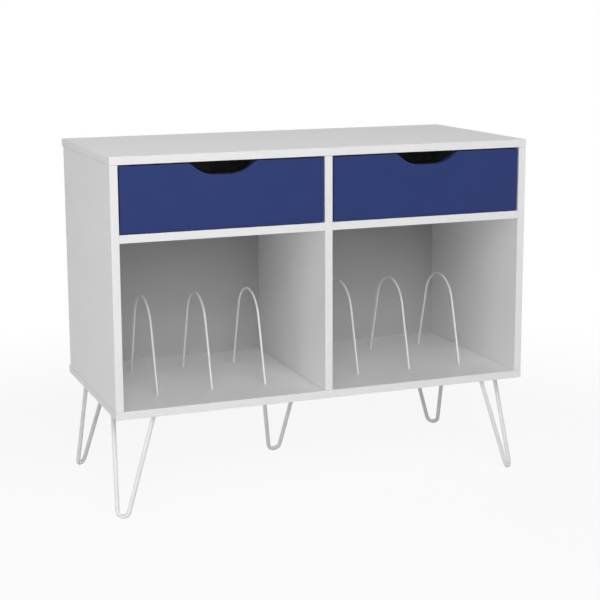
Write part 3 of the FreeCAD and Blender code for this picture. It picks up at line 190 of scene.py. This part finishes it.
def sprayed_coat(name, colours, cloud, peel, peel_depth, roughness, specular=0.5):
    """A coat sprayed on evenly: two tints that drift into each other, and a faint orange peel."""
    material, tree, place = start_material(name)
    drift = add_node(tree, "ShaderNodeTexNoise", {"Vector": place, "Scale": 1 / cloud})
    tint = add_node(tree, "ShaderNodeMix", {0: drift, 6: linear(colours[0]), 7: linear(colours[1])},
                    data_type="RGBA")
    patches = add_node(tree, "ShaderNodeTexNoise", {"Vector": place, "Scale": 4 / cloud})
    gloss = add_node(tree, "ShaderNodeMapRange", {
        "Value": patches, "To Min": roughness[0], "To Max": roughness[1]})
    skin = add_node(tree, "ShaderNodeTexNoise", {"Vector": place, "Scale": 1 / peel, "Detail": 1.0})
    relief = add_node(tree, "ShaderNodeBump", {"Height": skin, "Distance": peel_depth})
    return close_material(material, colours[0], {
        "Base Color": tint, "Roughness": gloss, "Normal": relief, "IOR": 1.5,
        "Specular IOR Level": specular})


def blue_lacquer(name):
    """Blue lacquer sprayed on board. A matting agent in it scatters most of the gloss, so the blue stays
    deep and even from every side."""
    return sprayed_coat(name, ("#23346A", "#28386E"), cloud=70 * MM, peel=1.6 * MM, peel_depth=0.01 * MM,
                        roughness=(0.42, 0.50), specular=0.2)


def powder_coat(name):
    """White powder coat baked on steel rod: satin, with an orange peel that softens its highlights."""
    return sprayed_coat(name, ("#E5E5E5", "#EBEBEB"), cloud=12 * MM, peel=0.9 * MM, peel_depth=0.005 * MM,
                        roughness=(0.32, 0.42))


def drawer_foil(name):
    """White foil wrapped round thin board, with a linen emboss. The real threads are 0.3 mm apart, too
    fine to show, so they are drawn 1 mm apart."""
    material, tree, place = start_material(name)
    threads = [add_node(tree, "ShaderNodeTexWave", {
        "Vector": place, "Scale": WAVE_BAND / THREAD_PITCH, "Distortion": 2.0, "Detail": 2.0},
        bands_direction=axis) for axis in "YZ"]
    linen = add_node(tree, "ShaderNodeMath", {0: threads[0].outputs["Fac"], 1: threads[1].outputs["Fac"]},
                     operation="MULTIPLY")
    wear = add_node(tree, "ShaderNodeTexNoise", {"Vector": place, "Scale": 1 / (30 * MM), "Detail": 4.0})
    tint = add_node(tree, "ShaderNodeMix", {0: wear, 6: linear("#DFDFE0"), 7: linear("#E6E6E6")},
                    data_type="RGBA")
    gloss = add_node(tree, "ShaderNodeMapRange", {"Value": linen, "To Min": 0.42, "To Max": 0.55})
    relief = add_node(tree, "ShaderNodeBump", {"Height": linen, "Distance": 0.02 * MM})
    return close_material(material, "#E3E3E3", {
        "Base Color": tint, "Roughness": gloss, "Normal": relief, "IOR": 1.5})


def slide_enamel(name):
    """Cream-white epoxy on rolled steel strip: smooth, with faint lengthwise rolling marks."""
    material, tree, place = start_material(name)
    drawn = add_node(tree, "ShaderNodeMapping", {"Vector": place, "Scale": (1.0, 0.02, 1.0)})
    marks = add_node(tree, "ShaderNodeTexNoise", {"Vector": drawn, "Scale": 1 / (0.8 * MM), "Detail": 3.0})
    tint = add_node(tree, "ShaderNodeMix", {0: marks, 6: linear("#D6D5CF"), 7: linear("#E2E1DB")},
                    data_type="RGBA")
    gloss = add_node(tree, "ShaderNodeMapRange", {"Value": marks, "To Min": 0.34, "To Max": 0.48})
    relief = add_node(tree, "ShaderNodeBump", {"Height": marks, "Distance": 0.008 * MM})
    return close_material(material, "#DDDCD6", {
        "Base Color": tint, "Roughness": gloss, "Normal": relief, "IOR": 1.5})


def moulded_nylon(name):
    """Natural nylon, injection moulded: milky and waxy, with light passing a little way in."""
    material, tree, place = start_material(name)
    flow = add_node(tree, "ShaderNodeTexNoise", {"Vector": place, "Scale": 1 / (4 * MM)})
    tint = add_node(tree, "ShaderNodeMix", {0: flow, 6: linear("#E1DED2"), 7: linear("#E8E5DB")},
                    data_type="RGBA")
    skin = add_node(tree, "ShaderNodeTexNoise", {"Vector": place, "Scale": 1 / (0.5 * MM)})
    relief = add_node(tree, "ShaderNodeBump", {"Height": skin, "Distance": 0.006 * MM})
    return close_material(material, "#E4E1D6", {
        "Base Color": tint, "Roughness": 0.38, "Normal": relief, "IOR": 1.53, "Subsurface Weight": 0.15,
        "Subsurface Radius": (1.2 * MM, 1.0 * MM, 0.8 * MM), "Subsurface Scale": 1.0})


def zinc(name, colours, grain, grain_depth, roughness):
    """Zinc, plated on or cast, and left bare: two greys mottled together, with a fine grain that breaks
    up its reflections."""
    material, tree, place = start_material(name)
    mottle = add_node(tree, "ShaderNodeTexNoise", {"Vector": place, "Scale": 1 / (1.5 * MM), "Detail": 4.0})
    tint = add_node(tree, "ShaderNodeMix", {0: mottle, 6: linear(colours[0]), 7: linear(colours[1])},
                    data_type="RGBA")
    gloss = add_node(tree, "ShaderNodeMapRange", {
        "Value": mottle, "To Min": roughness[0], "To Max": roughness[1]})
    surface = add_node(tree, "ShaderNodeTexNoise", {"Vector": place, "Scale": 1 / grain, "Detail": 3.0})
    relief = add_node(tree, "ShaderNodeBump", {"Height": surface, "Distance": grain_depth})
    return close_material(material, colours[0], {
        "Base Color": tint, "Roughness": gloss, "Normal": relief, "Metallic": 1.0})


def bare_beech(name):
    """Turned beech: pale pinkish wood with short dark flecks along the grain."""
    material, tree, place = start_material(name)
    drawn = add_node(tree, "ShaderNodeMapping", {"Vector": place, "Scale": (1.0, 1.0, 0.15)})
    grain = add_node(tree, "ShaderNodeTexNoise", {"Vector": drawn, "Scale": 1 / (0.7 * MM), "Detail": 4.0})
    tint = add_node(tree, "ShaderNodeMix", {0: grain, 6: linear("#B5875B"), 7: linear("#D2A87C")},
                    data_type="RGBA")
    relief = add_node(tree, "ShaderNodeBump", {"Height": grain, "Distance": 0.03 * MM})
    return close_material(material, "#C69A6D", {
        "Base Color": tint, "Roughness": 0.6, "Normal": relief, "IOR": 1.5})


FINISHES = {
    "white_laminate": melamine_board("white melamine board", band_at_ends=False),
    "white_backboard": painted_hardboard("painted hardboard"),
    "blue_laminate": blue_lacquer("matt blue lacquer"),
    "drawer_board": drawer_foil("white foil on thin board"),
    "white_wire": powder_coat("powder-coated wire"),
    "white_rod": powder_coat("powder-coated rod"),
    "slide_steel": slide_enamel("epoxy-coated strip"),
    "white_nylon": moulded_nylon("natural nylon"),
    # Bright plate on turned steel is a cool mirror broken up by fine scratches.
    "zinc_screws": zinc("bright zinc plate", ("#BFC3C8", "#D2D4D6"), 0.25 * MM, 0.004 * MM, (0.22, 0.4)),
    # Zinc from a die is dull and grainy.
    "cam_metal": zinc("die-cast zinc", ("#8F9091", "#A9AAAB"), 0.3 * MM, 0.02 * MM, (0.42, 0.55)),
    "beech": bare_beech("bare beech"),
}
for part in frame["record"]["subparts"]:
    NODES[part["node"]].material_slots[0].material = FINISHES[part["material_slot"]]
banded = melamine_board("white melamine board, banded all round", band_at_ends=True)
for panel in ("top_panel", "bottom_panel"):
    NODES[panel].material_slots[0].material = banded


# Geometry Nodes trees: bent wire, weld beads, screws and nails

def start_tree(name, inputs):
    """A tree that takes a source mesh, sizes and a finish by name. Gives the tree and those inputs."""
    tree = bpy.data.node_groups.new(name, "GeometryNodeTree")
    tree.interface.new_socket("Geometry", in_out="INPUT", socket_type="NodeSocketGeometry")
    for label, kind in (*inputs, ("Finish", "Material")):
        tree.interface.new_socket(label, in_out="INPUT", socket_type=f"NodeSocket{kind}")
    tree.interface.new_socket("Geometry", in_out="OUTPUT", socket_type="NodeSocketGeometry")
    return tree, add_node(tree, "NodeGroupInput").outputs


def close_tree(tree, given, geometry):
    """End a tree: its copies become real geometry, which gets the finish."""
    real = add_node(tree, "GeometryNodeRealizeInstances", {"Geometry": geometry})
    finished = add_node(tree, "GeometryNodeSetMaterial", {"Geometry": real, "Material": given["Finish"]})
    add_node(tree, "NodeGroupOutput", {"Geometry": finished})
    return tree


def bent_wire():
    """Round wire along each line of the source mesh, bent at each corner to that corner's radius."""
    tree, given = start_tree("bent wire", [
        ("Wire radius", "Float"), ("Sides", "Int"), ("Steps in a bend", "Int")])
    line = add_node(tree, "GeometryNodeMeshToCurve", {"Mesh": given["Geometry"]})
    radius = add_node(tree, "GeometryNodeInputNamedAttribute", {"Name": "bend_radius"}, data_type="FLOAT")
    bent = add_node(tree, "GeometryNodeFilletCurve", {
        "Curve": line, "Radius": radius, "Count": given["Steps in a bend"]}, mode="POLY")
    section = add_node(tree, "GeometryNodeCurvePrimitiveCircle", {
        "Resolution": given["Sides"], "Radius": given["Wire radius"]})
    wire = add_node(tree, "GeometryNodeCurveToMesh", {
        "Curve": bent, "Profile Curve": section, "Fill Caps": True})
    smooth = add_node(tree, "GeometryNodeSetShadeSmooth", {"Geometry": wire})
    return close_tree(tree, given, smooth)


def weld_bead():
    """A ring of weld metal at each point of the source mesh, with the ripples of its separate pools."""
    tree, given = start_tree("weld bead", [
        ("Ring radius", "Float"), ("Bead radius", "Float"), ("Ripple", "Float"),
        ("Steps in a ripple", "Float"), ("Steps round", "Int"), ("Sides", "Int")])
    ring = add_node(tree, "GeometryNodeCurvePrimitiveCircle", {
        "Resolution": given["Steps round"], "Radius": given["Ring radius"]})
    section = add_node(tree, "GeometryNodeCurvePrimitiveCircle", {
        "Resolution": given["Sides"], "Radius": given["Bead radius"]})
    step = add_node(tree, "GeometryNodeInputIndex")
    share = add_node(tree, "ShaderNodeMath", {0: step, 1: given["Steps in a ripple"]}, operation="DIVIDE")
    turn = add_node(tree, "ShaderNodeMath", {0: share, 1: 2 * pi}, operation="MULTIPLY")
    wave = add_node(tree, "ShaderNodeMath", {0: turn}, operation="SINE")
    swell = add_node(tree, "ShaderNodeMath", {0: wave, 1: given["Ripple"], 2: 1.0}, operation="MULTIPLY_ADD")
    bead = add_node(tree, "GeometryNodeCurveToMesh", {
        "Curve": ring, "Profile Curve": section, "Scale": swell})
    smooth = add_node(tree, "GeometryNodeSetShadeSmooth", {"Geometry": bead})
    aim = add_node(tree, "GeometryNodeInputNamedAttribute", {"Name": "aim"}, data_type="FLOAT_VECTOR")
    turned = add_node(tree, "FunctionNodeAlignRotationToVector", {"Vector": aim}, axis="Z")
    beads = add_node(tree, "GeometryNodeInstanceOnPoints", {
        "Points": given["Geometry"], "Instance": smooth, "Rotation": turned})
    return close_tree(tree, given, beads)


def driven_fastener(name, with_slots):
    """A fastener at each point of the source mesh, its head's face there and its point along the aim.
    A screw's head is a cone with a crossed recess, and it stops at a chance turn."""
    inputs = [("Head radius", "Float"), ("Head end radius", "Float"), ("Head depth", "Float"),
              ("Shank radius", "Float"), ("Length", "Float")]
    if with_slots:
        inputs += [("Slot length", "Float"), ("Slot width", "Float"), ("Slot depth", "Float"),
                   ("Turn seed", "Int")]
    tree, given = start_tree(name, inputs)
    head = add_node(tree, "GeometryNodeMeshCone", {
        "Vertices": 32, "Radius Bottom": given["Head radius"], "Radius Top": given["Head end radius"],
        "Depth": given["Head depth"]})
    if with_slots:
        reach = add_node(tree, "ShaderNodeMath", {0: given["Slot depth"], 1: 2.0}, operation="MULTIPLY")
        slots = []
        for length, width in (("Slot length", "Slot width"), ("Slot width", "Slot length")):
            size = add_node(tree, "ShaderNodeCombineXYZ", {"X": given[length], "Y": given[width], "Z": reach})
            slots.append(add_node(tree, "GeometryNodeMeshCube", {"Size": size}))
        cross = add_node(tree, "GeometryNodeMeshBoolean", {"Mesh 2": slots[0]},
                         operation="UNION", solver="EXACT")
        tree.links.new(slots[1].outputs["Mesh"], cross.inputs["Mesh 2"])
        head = add_node(tree, "GeometryNodeMeshBoolean", {"Mesh 1": head, "Mesh 2": cross},
                        operation="DIFFERENCE", solver="EXACT")
    past_head = add_node(tree, "ShaderNodeMath", {0: given["Length"], 1: given["Head depth"]},
                         operation="SUBTRACT")
    shank = add_node(tree, "GeometryNodeMeshCone", {
        "Vertices": 16, "Radius Bottom": given["Shank radius"], "Radius Top": given["Shank radius"],
        "Depth": past_head})
    lift = add_node(tree, "ShaderNodeCombineXYZ", {"Z": given["Head depth"]})
    moved = add_node(tree, "GeometryNodeTransform", {"Geometry": shank, "Translation": lift})
    whole = add_node(tree, "GeometryNodeJoinGeometry", {"Geometry": head})
    tree.links.new(moved.outputs["Geometry"], whole.inputs["Geometry"])
    aim = add_node(tree, "GeometryNodeInputNamedAttribute", {"Name": "aim"}, data_type="FLOAT_VECTOR")
    rotation = add_node(tree, "FunctionNodeAlignRotationToVector", {"Vector": aim}, axis="Z")
    placed = add_node(tree, "GeometryNodeInstanceOnPoints", {
        "Points": given["Geometry"], "Instance": whole, "Rotation": rotation})
    if with_slots:
        chance = add_node(tree, "FunctionNodeRandomValue", {"Seed": given["Turn seed"]}, data_type="FLOAT")
        turn = add_node(tree, "ShaderNodeMath", {0: chance.outputs[1], 1: pi / 2}, operation="MULTIPLY")
        about = add_node(tree, "ShaderNodeCombineXYZ", {"Z": turn})
        placed = add_node(tree, "GeometryNodeRotateInstances", {
            "Instances": placed, "Rotation": about, "Local Space": True})
    return close_tree(tree, given, placed)


def source_mesh(name, places, edges=(), aims=None, bends=None):
    """Points and lines for a tree to work on, with the way each one faces or the bend it gets."""
    mesh = bpy.data.meshes.new(name)
    mesh.from_pydata(places, edges, [])
    if aims:
        flat = [number for aim in aims for number in aim]
        mesh.attributes.new("aim", "FLOAT_VECTOR", "POINT").data.foreach_set("vector", flat)
    if bends:
        mesh.attributes.new("bend_radius", "FLOAT", "POINT").data.foreach_set("value", bends)
    return mesh


def grow(name, tree, source, values, body, slot, replaced=()):
    """Run a tree on a source mesh, keep the result as a plain mesh and fix it to its body."""
    piece = bpy.data.objects.new(name, source)
    bpy.context.scene.collection.objects.link(piece)
    modifier = piece.modifiers.new(tree.name, "NODES")
    modifier.node_group = tree
    values = {**values, "Finish": FINISHES[slot]}
    for socket in tree.interface.items_tree:
        if socket.name in values:
            modifier[socket.identifier] = values[socket.name]
    evaluated = piece.evaluated_get(bpy.context.evaluated_depsgraph_get())
    result = bpy.data.meshes.new_from_object(evaluated)
    piece.modifiers.remove(modifier)
    result.materials.clear()
    result.materials.append(FINISHES[slot])
    result.polygons.foreach_set("material_index", [0] * len(result.polygons))
    piece.data = result
    result.name = name
    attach(piece, body)
    if replaced:
        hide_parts(*replaced)
    return piece


# Record dividers: six wire arches that stand in holes in the bay floors

WIRE_RADIUS = 2.5 * MM
ARCH_HEIGHT = 206 * MM
ARCH_BEND = 75 * MM
FOOT_OFFSET = 115 * MM
FOOT_BEND = 10 * MM
PEG = 12 * MM

divider_nodes = [name for name in NODES if "_bay_record_divider_" in name]
ankle_to_arch = (FOOT_OFFSET - FOOT_BEND, ARCH_HEIGHT - ARCH_BEND)
splay = acos((ARCH_BEND - FOOT_BEND) / hypot(*ankle_to_arch)) - atan2(ankle_to_arch[1], ankle_to_arch[0])
ankle_corner = FOOT_BEND * tan(splay / 2)
apex = ankle_corner + FOOT_OFFSET / tan(splay)
corners = [(-FOOT_OFFSET, -PEG, 0), (-FOOT_OFFSET, ankle_corner, FOOT_BEND), (0, apex, ARCH_BEND),
           (FOOT_OFFSET, ankle_corner, FOOT_BEND), (FOOT_OFFSET, -PEG, 0)]
divider_corners, divider_lines = [], []
for node in divider_nodes:
    low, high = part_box(node)
    middle = (low + high) / 2
    first = len(divider_corners)
    divider_corners += [(middle.x, middle.y + y, BAY_FLOOR + z) for y, z, bend in corners]
    divider_lines += [(first + step, first + step + 1) for step in range(len(corners) - 1)]
dividers_source = source_mesh("divider lines", divider_corners, divider_lines,
                              bends=[bend for y, z, bend in corners] * len(divider_nodes))
grow("record_dividers", bent_wire(), dividers_source,
     {"Wire radius": WIRE_RADIUS, "Sides": 14, "Steps in a bend": 32},
     "cabinet", "white_wire", divider_nodes)


# Weld beads where the legs' rods meet their plates

ROD_RADIUS = 5 * MM
ROD_TURN = 15.5 * MM
ROD_SPREAD = 53 * MM
LEG_REACH = 58.4 * MM
LEG_RISE = 228 * MM
PLATE = 3 * MM
LEGS = [
    # turn in degrees, and the foot's place in mm: front left, front right, back left, back right, middle
    (-45, (-485, -207.5)), (45, (485, -207.5)), (-135, (-485, 207.5)), (135, (485, 207.5)),
    (180, (0, 139.5)),
]
UPRIGHT = Vector((0, 0, 1))

slope = hypot(LEG_REACH, LEG_RISE)
rod_lean = acos(ROD_TURN / hypot(ROD_SPREAD, slope - ROD_TURN)) - atan2(slope - ROD_TURN, ROD_SPREAD)
up_share = (LEG_RISE - PLATE) / LEG_RISE
across = ROD_SPREAD - (1 - up_share) * slope * tan(rod_lean)
bead_places, bead_aims = [], []
for leg_turn, foot_place in LEGS:
    foot = Vector(foot_place).to_3d() * MM
    turned = Matrix.Rotation(radians(leg_turn), 3, "Z")
    for hand in (-1, 1):
        at_plate = Vector((hand * across, up_share * LEG_REACH, ROD_RADIUS + LEG_RISE - PLATE))
        along = Vector((hand * sin(rod_lean), cos(rod_lean) * LEG_REACH / slope,
                        cos(rod_lean) * LEG_RISE / slope))
        bead_places.append(foot + turned @ at_plate)
        # A bead lies between the plate and a slice square to the rod, and nearer the plate.
        bead_aims.append((turned @ along + 2 * UPRIGHT).normalized())
grow("weld_beads", weld_bead(), source_mesh("bead points", bead_places, aims=bead_aims),
     {"Ring radius": 5.4 * MM, "Bead radius": 1.3 * MM, "Ripple": 0.14, "Steps in a ripple": 5.0,
      "Steps round": 60, "Sides": 8},
     "cabinet", "white_rod")


# Screws and nails

SAME_POINT = 0.001 * MM
AT_THE_END = 0.01 * MM


def heads(node):
    """The middle of each fastener's head in a node, and the way its point faces. The head is the wider
    end of each of the node's separate solids."""
    shape = bmesh.new()
    shape.from_mesh(NODES[node].data)
    bmesh.ops.remove_doubles(shape, verts=shape.verts, dist=SAME_POINT)
    unseen = set(shape.verts)
    found = []
    while unseen:
        solid, waiting = [], [unseen.pop()]
        while waiting:
            vertex = waiting.pop()
            solid.append(vertex.co.copy())
            joined = {edge.other_vert(vertex) for edge in vertex.link_edges} & unseen
            unseen -= joined
            waiting += joined
        low = Vector([min(point[axis] for point in solid) for axis in range(3)])
        high = Vector([max(point[axis] for point in solid) for axis in range(3)])
        long_axis = max(range(3), key=lambda axis: high[axis] - low[axis])
        ends = []
        for end in (low[long_axis], high[long_axis]):
            centre = (low + high) / 2
            centre[long_axis] = end
            rim = [point for point in solid if abs(point[long_axis] - end) < AT_THE_END]
            ends.append((max((point - centre).length for point in rim), centre))
        (_, tip), (_, head) = sorted(ends, key=lambda width_and_centre: width_and_centre[0])
        found.append((tuple(head), tuple((tip - head).normalized())))
    shape.free()
    found.sort()
    return [place for place, aim in found], [aim for place, aim in found]


cross_head = driven_fastener("cross-head screw", with_slots=True)
round_head = driven_fastener("flat nail", with_slots=False)
SCREWS = {
    # node: body, then in mm the head's width, the shank's width, the head's depth, the whole length, and
    # the recess's length, width and depth
    "panel_screws": ("cabinet", 10, 5, 2.5, 50, 5.2, 1.1, 1.9),
    "leg_screws": ("cabinet", 8, 4, 2.0, 16, 4.2, 0.9, 1.5),
    "cabinet_rail_screws": ("cabinet", 6.5, 3.5, 1.2, 9, 3.6, 0.8, 0.9),
    "left_drawer_rail_screws": ("left_drawer", 6.5, 3.5, 1.2, 9, 3.6, 0.8, 0.9),
    "right_drawer_rail_screws": ("right_drawer", 6.5, 3.5, 1.2, 9, 3.6, 0.8, 0.9),
}
for turn_seed, (node, (body, head, shank, depth, length, *recess)) in enumerate(SCREWS.items()):
    places, aims = heads(node)
    grow(f"cross_head_{node}", cross_head, source_mesh(f"{node} places", places, aims=aims),
         {"Head radius": head / 2 * MM, "Head end radius": shank / 2 * MM, "Head depth": depth * MM,
          "Shank radius": shank / 2 * MM, "Length": length * MM, "Slot length": recess[0] * MM,
          "Slot width": recess[1] * MM, "Slot depth": recess[2] * MM, "Turn seed": turn_seed},
         body, "zinc_screws", [node])
places, aims = heads("back_panel_nails")
grow("flat_head_nails", round_head, source_mesh("nail places", places, aims=aims),
     {"Head radius": 1.35 * MM, "Head end radius": 1.6 * MM, "Head depth": 0.8 * MM,
      "Shank radius": 0.7 * MM, "Length": 20.8 * MM},
     "cabinet", "zinc_screws", ["back_panel_nails"])


# Studio: a pale floor, a white surround and soft lamps

FLOOR_HALF = 30.0
SHADOW_REACH = 0.9  # past this distance the floor fades to plain white
FLOOR_WHITE = 0.9  # how much of the floor's colour is plain white within it
SURROUND_LIGHT = 0.05
LAMPS = {
    # name: (place, size across and up, watts)
    "high_front_softbox": ((-0.8, -3.9, 3.1), (2.4, 1.0), 34),
    "steep_front_softbox": ((-0.5, -2.0, 3.0), (2.4, 1.2), 19),
    "overhead_softbox": ((-0.8, 0.2, 2.8), (2.0, 1.8), 8),
    "low_left_softbox": ((-3.4, -1.8, 0.55), (2.0, 1.0), 34),
    "far_front_softbox": ((-0.5, -5.0, 2.6), (4.0, 2.0), 92),
    "low_right_fill": ((3.2, -1.8, 0.4), (2.0, 0.6), 7),
    "low_back_fill": ((2.4, 2.6, 0.42), (2.6, 0.76), 50),
}
AIM = Vector((0, 0, 0.45))


def seen_directly(tree):
    """1 for rays that should find the white background: from the camera, or off or through the object."""
    path = add_node(tree, "ShaderNodeLightPath").outputs
    seen = add_node(tree, "ShaderNodeMath", {0: path["Is Camera Ray"], 1: path["Is Glossy Ray"]},
                    operation="MAXIMUM")
    return add_node(tree, "ShaderNodeMath", {0: seen, 1: path["Is Transmission Ray"]}, operation="MAXIMUM")


def make_surround():
    """White all round to the eye, and a faint light from everywhere."""
    world = bpy.data.worlds.new("white surround")
    bpy.context.scene.world = world
    world.use_nodes = True
    tree = world.node_tree
    tree.nodes.clear()
    strength = add_node(tree, "ShaderNodeMapRange", {"Value": seen_directly(tree), "To Min": SURROUND_LIGHT})
    background = add_node(tree, "ShaderNodeBackground", {"Color": (1, 1, 1, 1), "Strength": strength})
    add_node(tree, "ShaderNodeOutputWorld", {"Surface": background})


def make_floor():
    """A pale floor that keeps the stand's shadow and fades into the white behind it."""
    bpy.ops.mesh.primitive_plane_add(size=2 * FLOOR_HALF, location=(0, 0, 0))
    floor = bpy.context.object
    floor.name = "studio_floor"
    material, tree, place = start_material("pale studio floor")
    paper = add_node(tree, "ShaderNodeBsdfDiffuse", {"Color": linear("#F2F2F2")})
    glow = add_node(tree, "ShaderNodeEmission", {"Color": (1, 1, 1, 1), "Strength": 1.0})
    distance = add_node(tree, "ShaderNodeVectorMath", {0: place}, operation="LENGTH")
    fade = add_node(tree, "ShaderNodeMapRange", {
        "Value": distance, "From Min": SHADOW_REACH, "From Max": 2 * SHADOW_REACH, "To Min": FLOOR_WHITE})
    share = add_node(tree, "ShaderNodeMath", {0: seen_directly(tree), 1: fade}, operation="MULTIPLY")
    both = add_node(tree, "ShaderNodeMixShader", {0: share, 1: paper, 2: glow})
    add_node(tree, "ShaderNodeOutputMaterial", {"Surface": both})
    floor.data.materials.append(material)


def make_lamp(name, place, size, watts):
    """A soft flat lamp that faces the middle of the stand."""
    lamp = bpy.data.lights.new(name, "AREA")
    lamp.shape = "RECTANGLE"
    lamp.size, lamp.size_y = size
    lamp.energy = watts
    stand = bpy.data.objects.new(name, lamp)
    stand.location = place
    stand.rotation_euler = (AIM - Vector(place)).to_track_quat("-Z", "Y").to_euler()
    bpy.context.scene.collection.objects.link(stand)


make_surround()
make_floor()
for lamp_name, lamp_settings in LAMPS.items():
    make_lamp(lamp_name, *lamp_settings)


# Camera, solved from the photo's edges

IMAGE_WIDTH = 600
FOCAL_PIXELS = 1457.7
SENSOR = 36.0
CAMERA_PLACE = Vector((-1.231, -3.2255, 1.128))
YAW = radians(21.20)
PITCH = radians(10.44)
ROLL = radians(-0.25)
SHIFT = 0.05

lens = bpy.data.cameras.new("camera")
lens.lens = FOCAL_PIXELS / IMAGE_WIDTH * SENSOR
lens.sensor_width = SENSOR
lens.shift_y = -SHIFT
camera = bpy.data.objects.new("camera", lens)
camera.location = CAMERA_PLACE
turn = Matrix.Rotation(-YAW, 3, "Z") @ Matrix.Rotation(pi / 2 - PITCH, 3, "X") @ Matrix.Rotation(ROLL, 3, "Z")
camera.rotation_euler = turn.to_euler()
bpy.context.scene.collection.objects.link(camera)
bpy.context.scene.camera = camera
bpy.context.scene.view_settings.view_transform = "Standard"
